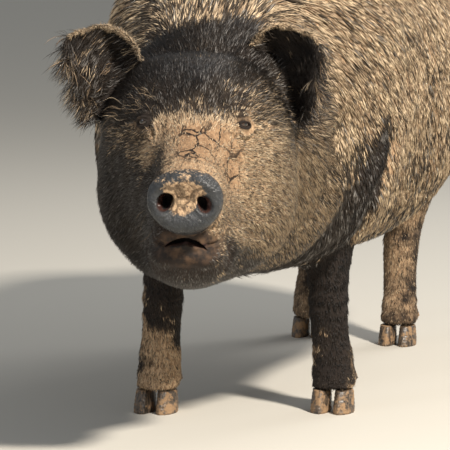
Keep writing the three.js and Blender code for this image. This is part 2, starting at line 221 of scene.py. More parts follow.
def addLamp(name, place, target, size, power, colour):
    lamp = bpy.data.lights.new(name, "AREA")
    lamp.size = size
    lamp.energy = power
    lamp.color = linearColour(colour)[:3]
    holder = bpy.data.objects.new(name, lamp)
    holder.location = place
    holder.rotation_euler = (Vector(target) - Vector(place)).to_track_quat("-Z", "Y").to_euler()
    bpy.context.scene.collection.objects.link(holder)


def makeStage():
    reach = 30
    corners = [(-reach, -reach, 0), (reach, -reach, 0), (reach, reach, 0), (-reach, reach, 0)]
    floor = meshObject("floor", corners, [(0, 1, 2, 3)])
    material, tree = newMaterial("paintedPlaster")     # matt, even and pale
    shader = addNode(tree, "BsdfPrincipled", {"Base Color": stageLook["floor"], "Roughness": 0.9}, "BSDF")
    addNode(tree, "OutputMaterial", {"Surface": shader})
    floor.data.materials.append(material)
    world = bpy.data.worlds.new("studio")
    world.use_nodes = True
    background = world.node_tree.nodes["Background"]
    background.inputs["Color"].default_value = linearColour(stageLook["sky"])
    background.inputs["Strength"].default_value = stageLook["skyStrength"]
    bpy.context.scene.world = world
    middle = bodyPlace(0, 0.1, 0.5)
    addLamp("keyLamp", (3.3, -2.7, 4.0), middle, 0.55, stageLook["key"], "#FFF6EA")
    addLamp("fillLamp", (-2.4, -3.9, 1.6), middle, 0.9, stageLook["fill"], "#EAF2FF")
    addLamp("rimLamp", (1.5, 3.6, 3.0), middle, 2.0, stageLook["rim"], "#FFFFFF")
    bpy.context.scene.view_settings.view_transform = "Standard"


makeCamera()
makeStage()
print("stage: camera, floor and light")


# The skin: one mesh round all the solids of flesh

skinShape = {
    "overlap": 0.6 * mm,        # closes the thin cuts between the solids
    "grain": 8.4 * mm,          # size of a face on the body
    "rounding": 22,             # passes that round the facets off
    "coatDepth": {"trunk": 7, "neck": 8, "head": 3.5, "lower_jaw": 3, "snout": 0, "ear": 2.5, "tail": 2,
                  "upper": 5, "lower": 3.5},          # millimetres
}

fleshNodes = ["trunk", "neck", "head", "lower_jaw", "snout", "ear_left", "ear_right", "tail"]
fleshNodes += [f"{kind}leg_{side}_{end}" for kind in ("fore", "hind") for side in ("left", "right")
               for end in ("upper", "lower")]


def solidOf(name, swell):
    part = bmesh.new()
    part.from_mesh(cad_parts[name].data)
    bmesh.ops.remove_doubles(part, verts=part.verts, dist=0.01 * mm)
    bmesh.ops.recalc_face_normals(part, faces=part.faces)
    part.normal_update()
    for vert in part.verts:
        vert.co += vert.normal * swell
    return part


def joinedSolids(names, swell):
    whole = bmesh.new()
    owner = []
    for name in names:
        part = solidOf(name, swell)
        mesh = bpy.data.meshes.new("part")
        part.to_mesh(mesh)
        part.free()
        whole.from_mesh(mesh)
        owner += [name] * len(mesh.polygons)
        bpy.data.meshes.remove(mesh)
    return whole, owner


def roundOff(points, edges, passes, amount=None):
    # smooths without shrinking: a pull in, then a slightly larger push out
    count = np.bincount(edges.ravel(), minlength=len(points))[:, None]
    for step in range(passes):
        for share in (0.5, -0.52):
            total = np.zeros_like(points)
            for axis in range(3):
                total[:, axis] = (np.bincount(edges[:, 0], points[edges[:, 1], axis], len(points))
                                  + np.bincount(edges[:, 1], points[edges[:, 0], axis], len(points)))
            pull = share * (total / np.maximum(count, 1) - points)
            points = points + (pull if amount is None else pull * amount[:, None])
    return points


def spreadOut(values, edges, passes):
    count = np.bincount(edges.ravel(), minlength=len(values))
    for step in range(passes):
        total = (np.bincount(edges[:, 0], values[edges[:, 1]], len(values))
                 + np.bincount(edges[:, 1], values[edges[:, 0]], len(values)))
        values = 0.5 * values + 0.5 * total / np.maximum(count, 1)
    return values


def readMesh(mesh):
    points = np.empty(len(mesh.vertices) * 3, np.float32)
    mesh.vertices.foreach_get("co", points)
    normals = np.empty(len(mesh.vertices) * 3, np.float32)
    mesh.vertex_normals.foreach_get("vector", normals)
    edges = np.empty(len(mesh.edges) * 2, np.int32)
    mesh.edges.foreach_get("vertices", edges)
    return points.reshape(-1, 3).astype(float), normals.reshape(-1, 3).astype(float), edges.reshape(-1, 2)


def writePoints(mesh, points):
    mesh.vertices.foreach_set("co", points.astype(np.float32).ravel())
    mesh.update()


def splitFaces(mesh, wanted):
    # halves the faces whose middle is wanted, and rounds what was split
    whole = bmesh.new()
    whole.from_mesh(mesh)
    whole.faces.ensure_lookup_table()
    middles = np.array([face.calc_center_median() for face in whole.faces])
    chosen = [whole.faces[i] for i in np.flatnonzero(wanted(middles))]
    edges = list({edge for face in chosen for edge in face.edges})
    bmesh.ops.subdivide_edges(whole, edges=edges, cuts=1, use_grid_fill=True)
    whole.to_mesh(mesh)
    whole.free()
    points, _, edges = readMesh(mesh)
    amount = wanted(points).astype(float)
    writePoints(mesh, roundOff(points, edges, 2, amount))


def nearPlaces(places, reach):
    def wanted(points):
        near = np.zeros(len(points), bool)
        for place in places:
            near |= np.linalg.norm(points - np.array(place), axis=1) < reach
        return near
    return wanted


def startSkin():
    whole, _ = joinedSolids(fleshNodes + ["eye_left", "eye_right"], skinShape["overlap"])
    rough = bpy.data.meshes.new("rough")
    whole.to_mesh(rough)
    whole.free()
    holder = bpy.data.objects.new("rough", rough)
    bpy.context.scene.collection.objects.link(holder)
    remesh = holder.modifiers.new("remesh", "REMESH")
    remesh.mode = "VOXEL"
    remesh.voxel_size = skinShape["grain"]
    remesh.adaptivity = 0
    result = bpy.data.meshes.new_from_object(holder.evaluated_get(bpy.context.evaluated_depsgraph_get()))
    bpy.data.objects.remove(holder)
    bpy.data.meshes.remove(rough)
    skin = bpy.data.objects.new("hide", result)
    bpy.context.scene.collection.objects.link(skin)
    points, _, edges = readMesh(result)
    writePoints(result, roundOff(points, edges, skinShape["rounding"]))
    return skin


skin = startSkin()
print("stage: skin started,", len(skin.data.polygons), "faces")


# Which solid each point of the skin belongs to

def ownersOf(points):
    whole, owner = joinedSolids(fleshNodes, 0)
    tree = BVHTree.FromBMesh(whole)
    whole.free()
    return np.array([owner[tree.find_nearest(Vector(point))[2]] for point in points])


def isPart(owners, *words):
    return np.array([any(word in name for word in words) for name in owners])


# Finer faces where the face needs them

finer = {"face": 62, "nose": 258, "eyes": 34, "lids": 19}      # millimetres ahead of the pivot, or round eyes


def noseAndEyes(points):
    return (inHead(points)[:, 1] > finer["nose"]) | nearPlaces(eyeMiddle.values(), finer["eyes"] * mm)(points)


splitFaces(skin.data, lambda points: inHead(points)[:, 1] > finer["face"])
splitFaces(skin.data, noseAndEyes)
splitFaces(skin.data, nearPlaces(eyeMiddle.values(), finer["lids"] * mm))


def nearEars(points):
    # in the box of either ear, with 4 mm to spare, and clear of the head
    inBox = np.zeros(len(points), bool)
    for side in ("left", "right"):
        low, high = (np.array(corner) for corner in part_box("ear_" + side))
        inBox |= ((points > low - 4 * mm) & (points < high + 4 * mm)).all(1)
    return inBox & (np.abs(inHead(points)[:, 0]) > 96)


def sharpenEars():
    # the coarse faces leave the thin rims ragged, so they are split and laid on the solids again
    splitFaces(skin.data, nearEars)
    points, _, edges = readMesh(skin.data)
    whole, _ = joinedSolids(fleshNodes, 0)
    tree = BVHTree.FromBMesh(whole)
    whole.free()
    for i in np.flatnonzero(isPart(ownersOf(points), "ear")):
        points[i] = tree.find_nearest(Vector(points[i]))[0]
    amount = isPart(ownersOf(points), "ear").astype(float)
    writePoints(skin.data, roundOff(points, edges, 5, amount))


sharpenEars()
print("stage: face refined,", len(skin.data.polygons), "faces")


# Thin the skin by the depth of the coat

points, normals, edges = readMesh(skin.data)
owners = ownersOf(points)
depth = np.zeros(len(points))
for name, millimetres in skinShape["coatDepth"].items():
    depth[isPart(owners, name)] = millimetres * mm
depth = spreadOut(depth, edges, 12)
foot = smoothStep(36 * mm, 60 * mm, points[:, 2])      # the coat thins out above the hoof
points = points - normals * (depth * (0.4 + 0.6 * foot))[:, None]
writePoints(skin.data, points)
print("stage: skin thinned by the coat")


# Folds, wrinkles, lids and mouth, pressed into the skin

def pressLines(rows, lip=0.35):
    # presses a groove along each line on the skin, with a soft roll on both sides; sizes in millimetres
    points, normals, _ = readMesh(skin.data)
    press = np.zeros(len(points))
    for width, depth, line in rows:
        away, along = distanceTo(points, line)
        reach = away / (width * mm)
        groove = np.exp(-reach ** 2) - lip * np.exp(-(reach - 2) ** 2 / 0.8)
        press += groove * depth * mm * smoothStep(0, 0.2, along) * smoothStep(1, 0.8, along)
    writePoints(skin.data, points - normals * press[:, None])


def skinTree():
    whole = bmesh.new()
    whole.from_mesh(skin.data)
    tree = BVHTree.FromBMesh(whole)
    whole.free()
    return tree


def onSkin(tree, places, step=6 * mm):
    return [tree.find_nearest(place)[0] for place in curveThrough(places, step)]


def mirrored(rows):
    # the same rows on the other side of the head or body
    return rows + [[(-x, y, z) for x, y, z in row] for row in rows]


# Lines across, ahead of and above the head's pivot, in millimetres: width and depth of the groove, then
# the line
headCreases = {
    "nose folds": (3.2, 0.6, mirrored([
        [(0, 279, 60), (26, 276, 55), (46, 272, 38), (54, 268, 12)],
        [(0, 262, 66), (24, 260, 62), (44, 256, 46), (56, 252, 24)],
        [(0, 243, 71), (20, 242, 69), (38, 240, 58)]])),
    "cheek folds": (9, 2.4, mirrored([
        [(60, 240, 30), (72, 212, 12), (84, 190, -14), (86, 178, -44)],
        [(70, 200, 46), (88, 172, 32), (104, 150, 6), (110, 138, -26)],
        [(80, 182, -70), (98, 150, -84), (116, 118, -92), (132, 80, -92)],
        [(74, 196, -100), (92, 168, -118), (108, 134, -130)]])),
    "chin edges": (10, 7, mirrored([
        [(62, 236, -72), (60, 234, -94), (52, 236, -118), (40, 228, -144)]])),
    "lower lip": (9, -3.5, [
        [(-50, 250, -92), (-34, 276, -87), (0, 290, -83), (34, 276, -87), (50, 250, -92)]]),
    "eye corners": (3, 3, mirrored([
        [(66, 152, 84), (60, 156, 74), (56, 162, 60)]])),
    "brow folds": (3.6, 2.4, mirrored([
        [(44, 148, 104), (60, 140, 114), (78, 132, 114), (94, 120, 104)],
        [(40, 140, 120), (60, 130, 130), (82, 118, 128), (100, 104, 114)],
        [(94, 130, 92), (104, 118, 84), (112, 104, 70)],
        [(90, 136, 74), (102, 124, 62), (112, 110, 46)],
        [(52, 156, 72), (68, 152, 64), (86, 144, 62)]])),
    "forehead furrows": (7, 0.8, [
        [(-7, 176, 92), (-9, 150, 116), (-8, 120, 138)],
        [(9, 178, 92), (10, 152, 116), (8, 124, 136)],
        [(-24, 158, 106), (-26, 132, 128), (-22, 100, 148)],
        [(24, 158, 106), (27, 132, 128), (24, 100, 148)]]),
}

# Lines on the body: across, along and up, as bodyPlace takes them
bodyCreases = {
    "neck folds": (18, 4.5, mirrored([
        [(0.30, -0.02, 0.05), (0.55, -0.04, 0.14), (0.72, -0.02, 0.30), (0.74, 0.0, 0.48)],
        [(0.42, 0.03, 0.03), (0.70, 0.03, 0.14), (0.86, 0.05, 0.30), (0.88, 0.06, 0.46)]])),
    "shoulder edge": (17, 10, mirrored([
        [(0.58, 0.15, 0.03), (0.72, 0.14, 0.14), (0.80, 0.12, 0.22), (0.88, 0.14, 0.30), (0.91, 0.15, 0.38),
         (0.89, 0.12, 0.46)]])),
    "shoulder blade": (26, 4, mirrored([
        [(0.92, 0.17, 0.42), (0.96, 0.22, 0.56), (0.95, 0.25, 0.70), (0.88, 0.26, 0.84)]])),
    "flank fold": (22, 8, mirrored([
        [(0.92, 0.36, 0.72), (0.95, 0.36, 0.54), (0.96, 0.385, 0.40), (0.90, 0.41, 0.26),
         (0.78, 0.42, 0.12)]])),
    "ham folds": (16, 7, mirrored([
        [(0.70, 0.76, 0.16), (0.86, 0.74, 0.28), (0.96, 0.72, 0.44)],
        [(0.62, 0.80, 0.10), (0.78, 0.79, 0.22), (0.90, 0.78, 0.36)]])),
    "breast fold": (10, 5, [
        [(0, -0.05, 0.07), (0, 0.02, 0.03), (0, 0.10, 0.02)]]),
}


def pressCreases():
    tree = skinTree()
    lines = [(width, depth, onSkin(tree, [headPlace(*p) for p in row]))
             for width, depth, rows in headCreases.values() for row in rows]
    lines += [(width, depth, onSkin(tree, [bodyPlace(*p) for p in row], 14 * mm))
              for width, depth, rows in bodyCreases.values() for row in rows]
    pressLines(lines)


# Rings of wrinkles round the legs: height as a share of the solid's own, width and depth in millimetres
legWrinkles = {
    "upper": [(0.12, 7, 2.0), (0.30, 8, 1.5)],
    "lower": [(0.93, 6, 2.2), (0.78, 6, 1.4), (0.30, 5, 1.4), (0.14, 5, 1.8)],
}


def pressLegWrinkles():
    tree = skinTree()
    lines = []
    for name in fleshNodes:
        if "leg" not in name:
            continue
        low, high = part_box(name)
        middle = (low + high) / 2
        for share, width, depth in legWrinkles[name.split("_")[-1]]:
            height = low.z + share * (high.z - low.z)
            ring = []
            for i in range(25):
                angle = -math.pi * (i / 24 * 1.5 - 0.25)             # over the front, open at the back
                sag = 4 * mm * math.sin(3 * angle + share * 9)
                ring.append(Vector((middle.x + 0.045 * math.cos(angle), middle.y + 0.05 * math.sin(angle),
                                    height + sag)))
            lines.append((width, depth, [tree.find_nearest(place)[0] for place in ring]))
    pressLines(lines)


footShape = {"drawIn": 0.11, "drawReach": 20, "mound": 7, "moundReach": 15}      # a share, then millimetres


def narrowPasterns():
    # the legs draw in just above the claws
    points, _, _ = readMesh(skin.data)
    reach = footShape["drawReach"]
    for name in fleshNodes:
        if name.startswith(("foreleg", "hindleg")) and name.endswith("lower"):
            low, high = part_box(name)
            beside = np.abs(points[:, :2] - np.array((low + high) / 2)[:2]) < 0.08
            chosen = beside.all(1) & (points[:, 2] < low.z + reach * mm)
            foot = points[chosen]
            pull = footShape["drawIn"] * smoothStep(reach, 4, (foot[:, 2] - low.z) / mm)
            foot[:, :2] += (foot[:, :2].mean(0) - foot[:, :2]) * pull[:, None]
            points[chosen] = foot
    writePoints(skin.data, points)


def raiseDewclawMounds():
    # each dewclaw sits on a small mound of flesh behind the leg
    points, normals, _ = readMesh(skin.data)
    tree = skinTree()
    lift = np.zeros(len(points))
    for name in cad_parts:
        if name.startswith("dewclaw"):
            low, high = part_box(name)
            root = tree.find_nearest((low + high) / 2)[0]
            away = np.linalg.norm(points - np.array(root), axis=1) / (footShape["moundReach"] * mm)
            lift += footShape["mound"] * mm * np.exp(-away ** 2)
    writePoints(skin.data, points + normals * lift[:, None])


# The lips in millimetres from the head's pivot: how far ahead they reach in the middle and how much they
# curve back, then the edges of the open crescent between them, at its middle and how much lower 'half' aside
mouthShape = {
    "front": 304, "curve": 0.0138, "half": 23, "upper": (-52, 10), "lower": (-66, 3), "depth": 22,
    "lean": 1.2, "swell": 3.5, "corner": (2.6, 4), "lipRoll": 0.25,
}


def mouthOpening(across, up):
    # 1 in the open crescent, 0 outside it
    (top, topDrop), (bottom, bottomDrop) = mouthShape["upper"], mouthShape["lower"]
    share = np.abs(across) / mouthShape["half"]
    lean = mouthShape["lean"] * across / mouthShape["half"]
    top = top - topDrop * share ** 2 - lean
    bottom = bottom - bottomDrop * share ** 2 - lean + mouthShape["swell"] * np.exp(-(share * 2.4) ** 2)
    return smoothStep(0, 2.4, top - up) * smoothStep(0, 2.0, up - bottom)


def shapeMouth():
    # the groove under the nose is filled out to the lips, the crescent pushed back, and a line runs on
    # to both corners
    points, normals, edges = readMesh(skin.data)
    across, ahead, up = inHead(points).T
    lips = smoothStep(-80, -70, up) * smoothStep(-40, -48, up)
    lips = lips * smoothStep(58, 44, np.abs(across)) * (ahead > 232)
    short = np.clip(mouthShape["front"] - mouthShape["curve"] * across ** 2 - ahead, 0, None)
    points = points + np.outer(lips * short * mm, noseAxis)
    points = points + (roundOff(points, edges, 4) - points) * lips[:, None]
    across, ahead, up = inHead(points).T
    deep = mouthOpening(across, up) * (ahead > 270) * mouthShape["depth"]
    writePoints(skin.data, points - np.outer(deep * mm, noseAxis))
    tree = skinTree()
    lines = [onSkin(tree, [headPlace(*p) for p in row], 4 * mm) for row in mirrored([
        [(27, 298, -65), (42, 280, -66), (53, 262, -61), (62, 244, -53), (69, 228, -44)]])]
    pressLines([(*mouthShape["corner"], line) for line in lines], mouthShape["lipRoll"])
    return lines


# Each lid is a cap over the eyeball, with an almond opening that shows the eye
lidShape = {
    "ball": 12.5, "lid": 2.3, "mound": 26, "reach": 15.5, "blend": 9, "halfLength": 9.2, "upper": 4.8,
    "lower": 3.6, "slant": 12, "drop": 1.5, "outward": (0.58, 0.8, 0.0), "rim": 0.7,
    "folds": [(8, 1.1), (12.5, 2.2), (18, 2.2), (-8, 1.0), (-12.5, 1.8), (-17, 1.4)],      # height and depth
}


def eyeAxes(side):
    # outward, towards the ear, and up, for one eye
    across, ahead, up = lidShape["outward"]
    sign = 1 if side == "left" else -1
    out = headTurn @ Vector((sign * across, -ahead, up)).normalized()
    upward = headTurn @ Vector((0, 0, 1))
    back = out.cross(upward).normalized() * sign
    upward = (back.cross(out) * sign).normalized()
    slant = math.radians(lidShape["slant"])
    return (out, back * math.cos(slant) + upward * math.sin(slant),
            upward * math.cos(slant) - back * math.sin(slant))


def openLids(side):
    points, normals, _ = readMesh(skin.data)
    centre = np.array(eyeMiddle[side])
    out, back, upward = (np.array(axis) for axis in eyeAxes(side))
    offset = points - centre
    aside = np.linalg.norm(offset - np.outer(offset @ out, out), axis=1)
    lid = (lidShape["ball"] + lidShape["lid"]) * mm
    near = (aside < 7 * mm) & (offset @ out > 0)
    lift = lid - (offset @ out)[near].mean()
    raised = lift * np.exp(-(aside / (lidShape["mound"] * mm)) ** 2) * (offset @ out > -0.03)
    offset = offset + np.outer(raised, out)
    distance = np.linalg.norm(offset, axis=1)
    way = offset / distance[:, None]
    facing = smoothStep(-0.1, 0.35, way @ out)
    hold = facing * smoothStep(lidShape["reach"] + lidShape["blend"], lidShape["reach"], distance / mm)
    distance = distance + hold * (lid - distance)
    offset = way * distance[:, None]
    along, height = offset @ back / mm, offset @ upward / mm + lidShape["drop"]
    bow = 1 - (along / lidShape["halfLength"]) ** 2
    edge = np.where(height > 0, lidShape["upper"], lidShape["lower"]) * bow
    inside = smoothStep(0.9, -0.5, np.abs(height) - edge) * (bow > 0) * (facing > 0.5) * (distance < 0.02)
    distance = distance - inside * (lid - (lidShape["ball"] - 1.6) * mm)
    ring = np.abs(np.abs(height) - edge - 1.4)
    raised = hold * lidShape["rim"] * mm * np.exp(-(ring / 1.2) ** 2)
    distance = distance + raised * (bow > -0.3) * (1 - inside)
    writePoints(skin.data, centre + way * distance[:, None])
    tree = skinTree()
    folds = []
    for lift, depth in lidShape["folds"]:
        wide = 8 + abs(lift) * 0.75
        arc = [centre + (back * x + upward * (lift * (1.12 - 0.75 * (x / wide) ** 2) - lidShape["drop"])
                         + out * math.sqrt(max(18 ** 2 - x * x * 0.8 - lift * lift, 16))) * mm
               for x in np.linspace(-wide, wide, 11)]
        folds.append((1.7, depth, onSkin(tree, [Vector(p) for p in arc], 3 * mm)))
    pressLines(folds)


noseShape = {
    "disc": (53, 49), "middle": 3, "rimAt": 0.84, "rimHeight": 2.6, "dish": 5.0, "pad": 5.5, "round": 9.0,
    "neck": 6.0, "wrinkles": 46, "wrinkleDepth": 0.4, "philtrum": 2.4, "crease": 1.6, "flare": 2.2,
    "nostril": (27.5, 5), "nostrilSize": (10.5, 13.5), "nostrilDish": 6, "slit": (-3, 6, 12), "slitDepth": 16,
    "slant": -22, "wide": 0.06, "aside": -1.5,      # millimetres, degrees, and the disc's stretch and shift
}


def nostrilReach(across, up, slit=False):
    # 0 in the middle of either nostril, or of the deep slit on its inner side, and 1 at its edge;
    # they lean outwards towards the bottom
    slant = math.radians(noseShape["slant"])
    inward, wide, high = noseShape["slit"] if slit else (0, *noseShape["nostrilSize"])
    aside, above = np.abs(across) - noseShape["nostril"][0] - inward, up - noseShape["nostril"][1]
    return np.hypot((aside * math.cos(slant) - above * math.sin(slant)) / wide,
                    (aside * math.sin(slant) + above * math.cos(slant)) / high)


def shapeNose():
    # a thick rim round a dished middle, a swollen pad below, and a narrow neck behind the disc
    points, normals, _ = readMesh(skin.data)
    across, ahead, up = inHead(points).T
    front = smoothStep(302, 322, ahead)
    radius = np.hypot(across / noseShape["disc"][0], (up - noseShape["middle"]) / noseShape["disc"][1])
    rim = np.exp(-((radius - noseShape["rimAt"]) / 0.13) ** 2) * noseShape["rimHeight"]
    dish = -noseShape["dish"] * np.exp(-(across / 46) ** 2 - ((up - 12) / 17) ** 2)
    pad = noseShape["pad"] * np.exp(-(across / 30) ** 2 - ((up + 24) / 15) ** 2)
    angle = np.arctan2(across, up - noseShape["middle"])
    top = smoothStep(0.6, 0.9, radius) * smoothStep(-0.2, 0.5, np.cos(angle))
    wrinkle = np.cos(angle * noseShape["wrinkles"]) * noseShape["wrinkleDepth"] * top
    philtrum = -noseShape["philtrum"] * np.exp(-(across / 3) ** 2)
    philtrum = philtrum * smoothStep(-24, -34, up) * smoothStep(-56, -44, up)
    between = -noseShape["crease"] * np.exp(-((up - 13) / 2.2) ** 2) * smoothStep(17, 9, np.abs(across))
    flare = noseShape["flare"] * np.exp(-((nostrilReach(across, up) - 1.25) / 0.22) ** 2)
    below = smoothStep(4, -40, up)
    turned = -noseShape["round"] * smoothStep(0.62, 1.05, radius) * (0.35 + 0.65 * below)
    shift = (rim + dish + pad + wrinkle + philtrum + between + flare + turned) * front
    side = smoothStep(0.7, 0.95, radius) * np.exp(-((ahead - 290) / 9) ** 2) * smoothStep(-40, -20, up)
    points = points + normals * ((shift - noseShape["neck"] * side) * mm)[:, None]
    deep = smoothStep(1.08, 0.5, nostrilReach(across, up)) * noseShape["nostrilDish"]
    deep += smoothStep(1.05, 0.65, nostrilReach(across, up, True)) * noseShape["slitDepth"]
    inward = np.array(headTurn @ Vector((0, 1, 0.12)))
    points = points + inward * (deep * front * mm)[:, None]
    aside = (noseShape["wide"] * across + noseShape["aside"]) * smoothStep(300, 318, ahead)
    writePoints(skin.data, points + np.outer(aside * mm, np.array(headTurn @ Vector((1, 0, 0)))))


# Places where the flesh falls in, across, ahead and up from the head's pivot: reach and depth in millimetres
headHollows = [
    ((-128, 110, -60), 62, 15), ((-128, 105, 5), 55, 13), ((-90, 175, -95), 42, 13),
    ((-110, 130, -118), 44, 13),
    ((76, 172, -144), 40, 23), ((-76, 172, -146), 36, 14), ((94, 128, -150), 34, 8),        # jowls
    ((86, 168, 66), 20, 4), ((-86, 168, 66), 20, 4), ((52, 172, 74), 14, 3), ((-52, 172, 74), 14, 3),
    ((74, 192, 38), 24, 4), ((70, 226, 18), 22, 4), ((-76, 190, 40), 26, 8), ((-70, 226, 18), 24, 8),
    ((84, 205, -50), 24, 6), ((-84, 205, -50), 24, 6),                                      # behind the mouth
    ((64, 262, -14), 18, 4), ((-64, 262, -14), 18, 4),                                      # muzzle's sides
]


def hollowHead():
    points, normals, _ = readMesh(skin.data)
    press = np.zeros(len(points))
    for place, reach, depth in headHollows:
        away = np.linalg.norm(points - np.array(headPlace(*place)), axis=1)
        press += depth * mm * np.exp(-(away / (reach * mm)) ** 2)
    writePoints(skin.data, points - normals * press[:, None])


# Two rows of small teats under the belly
teats = {"rows": 7, "across": 0.27, "from": 0.24, "to": 0.78, "radius": 7, "height": 11}


def raiseTeats():
    points, normals, _ = readMesh(skin.data)
    tree = skinTree()
    lift = np.zeros(len(points))
    for i in range(teats["rows"]):
        along = teats["from"] + (teats["to"] - teats["from"]) * i / (teats["rows"] - 1)
        for side in (-1, 1):
            foot = tree.find_nearest(bodyPlace(side * teats["across"], along, -0.05))[0]
            away = np.linalg.norm(points - np.array(foot), axis=1) / (teats["radius"] * mm)
            lift += teats["height"] * mm * np.exp(-away ** 2) + 3 * mm * np.exp(-(away / 2.6) ** 2)
    writePoints(skin.data, points + normals * lift[:, None])


def addUnevenness():
    # flesh is never quite smooth: shallow hollows on the body, finer ones on the head
    points, normals, _ = readMesh(skin.data)
    body = isPart(owners, "trunk", "neck", "leg")
    swell = np.where(body, 2.2, 0.7) * cellNoise(points, 0.07, 3)
    swell += np.where(body, 1.0, 0.5) * cellNoise(points, 0.028, 5)
    toEye = np.min([np.linalg.norm(points - np.array(p), axis=1) for p in eyeMiddle.values()], 0) / mm
    quiet = smoothStep(35, 20, toEye)
    writePoints(skin.data, points + normals * (swell * (1 - quiet) * mm)[:, None])


addUnevenness()
hollowHead()
raiseTeats()
pressCreases()
pressLegWrinkles()
narrowPasterns()
raiseDewclawMounds()
mouthLines = shapeMouth()
shapeNose()
openLids("left")
openLids("right")
print("stage: folds, lids and mouth pressed in")


# The lie, length and mud of the coat, set at guide places and blended between them

# Body: across, along, up; lie of the hair (left, back, up); mud 0 to 1; length in millimetres.
# Rows with across over 0 hold for both sides, with the right side's mud times rightMud.
bodyGuides = [
    [(0.00, -0.04, 0.76), (0, 1, 0.3), 0.55, 36],      # crest of the neck
    [(0.00, 0.12, 0.97), (0, 1, -0.05), 0.55, 36],     # withers
    [(0.00, 0.50, 1.00), (0, 1, -0.05), 0.70, 30],     # back
    [(0.00, 0.85, 0.93), (0, 1, -0.35), 0.60, 26],
    [(0.00, 1.00, 0.65), (0, 0.3, -1), 0.50, 24],      # rump
    [(0.55, -0.05, 0.66), (0.25, 0.55, -0.8), 0.66, 26],   # behind the ear
    [(0.70, 0.04, 0.60), (0.1, 0.6, -0.8), 0.94, 24],     # side of the neck
    [(0.64, -0.03, 0.44), (0.2, 0.5, -0.85), 0.86, 24],    # swirl behind the jaw
    [(0.68, 0.0, 0.36), (0, -0.05, -1), 0.72, 24],
    [(0.54, -0.05, 0.22), (-0.2, -0.35, -0.9), 0.62, 22],
    [(0.56, -0.01, 0.16), (-0.2, -0.3, -0.9), 0.22, 20],
    [(0.46, -0.03, 0.14), (-0.2, -0.3, -0.9), 0.0, 18],     # breast, darkened as painted shade of the jowl
    [(0.38, -0.03, 0.11), (-0.2, -0.3, -0.9), 0.0, 18],
    [(0.47, 0.01, 0.10), (-0.2, -0.3, -0.9), 0.0, 20],
    [(0.85, 0.12, 0.72), (0, 0.65, -0.75), 0.86, 24],      # shoulder
    [(0.93, 0.14, 0.52), (0, 0.6, -0.8), 0.86, 24],
    [(0.84, 0.07, 0.44), (0.1, 0.55, -0.85), 0.84, 20],
    # lower down the front of the shoulder the mud thins out: painted shadow of the head on the shoulder and
    # the top of the foreleg
    [(0.80, 0.05, 0.37), (0, 0.4, -0.9), 0.40, 18],
    [(0.72, 0.02, 0.30), (0, 0.3, -1), 0.34, 18],
    [(0.76, 0.04, 0.34), (0, 0.3, -1), 0.26, 16],
    [(0.73, 0.04, 0.26), (0, 0.3, -1), 0.10, 16],
    [(0.72, 0.06, 0.20), (0, 0.3, -1), 0.04, 16],
    [(0.65, 0.01, 0.21), (0, 0.3, -1), 0.34, 18],
    [(0.61, 0.02, 0.15), (0, 0.3, -1), 0.12, 18],
    [(0.87, 0.11, 0.38), (0, 0.5, -0.9), 0.0, 14],         # hollow behind the shoulder, darkened as painted shade
    [(0.83, 0.09, 0.30), (0, 0.4, -0.9), 0.0, 14],
    [(0.76, 0.08, 0.21), (0, 0.3, -1), 0.08, 14],
    [(0.70, 0.09, 0.12), (0, 0.25, -1), 0.10, 14],
    [(0.91, 0.20, 0.38), (0, 0.3, -1), 0.86, 16],          # belly beside the hollow
    [(0.86, 0.19, 0.28), (0, 0.3, -1), 0.84, 16],
    [(0.80, 0.19, 0.18), (0, 0.3, -1), 0.80, 16],
    # a little less mud along the back of the shoulder blade: painted shade
    [(0.95, 0.25, 0.66), (0, 0.45, -0.9), 0.62, 22],
    [(0.95, 0.36, 0.75), (0, 0.35, -0.95), 0.80, 20],
    [(0.95, 0.30, 0.50), (0, 0.25, -1), 0.86, 18],
    [(0.95, 0.365, 0.50), (0, 0.25, -1), 0.58, 18],        # flank fold, with less mud as painted shade in the fold
    [(0.93, 0.39, 0.36), (0, 0.25, -1), 0.52, 18],
    [(0.86, 0.415, 0.20), (0, 0.25, -1), 0.45, 18],
    [(1.00, 0.46, 0.50), (0, 0.25, -1), 0.80, 18],         # flank
    [(0.92, 0.42, 0.22), (0, 0.3, -1), 0.78, 18],
    [(0.90, 0.60, 0.75), (0, 0.4, -0.9), 0.78, 20],
    [(0.98, 0.60, 0.45), (0, 0.25, -1), 0.80, 20],
    [(0.80, 0.58, 0.10), (-0.2, 0.5, -0.8), 0.70, 22],
    [(0.55, 0.45, 0.02), (-0.5, 0.8, -0.3), 0.40, 20],
    [(0.00, 0.50, 0.00), (0, 1, 0), 0.30, 20],             # belly
    [(0.00, 0.20, 0.03), (0, 0.9, -0.2), 0.15, 26],
    [(0.00, -0.03, 0.10), (0, 0.25, -1), 0.08, 30],        # breast
    [(0.35, 0.00, 0.06), (0, 0.2, -1), 0.12, 30],
    [(0.85, 0.86, 0.62), (0, 0.45, -0.9), 0.68, 22],       # ham
    [(0.72, 0.86, 0.25), (0, 0.15, -1), 0.62, 22],
    [(0.45, 0.98, 0.45), (0, 0.2, -1), 0.45, 22],
]
rightMud = 0.72
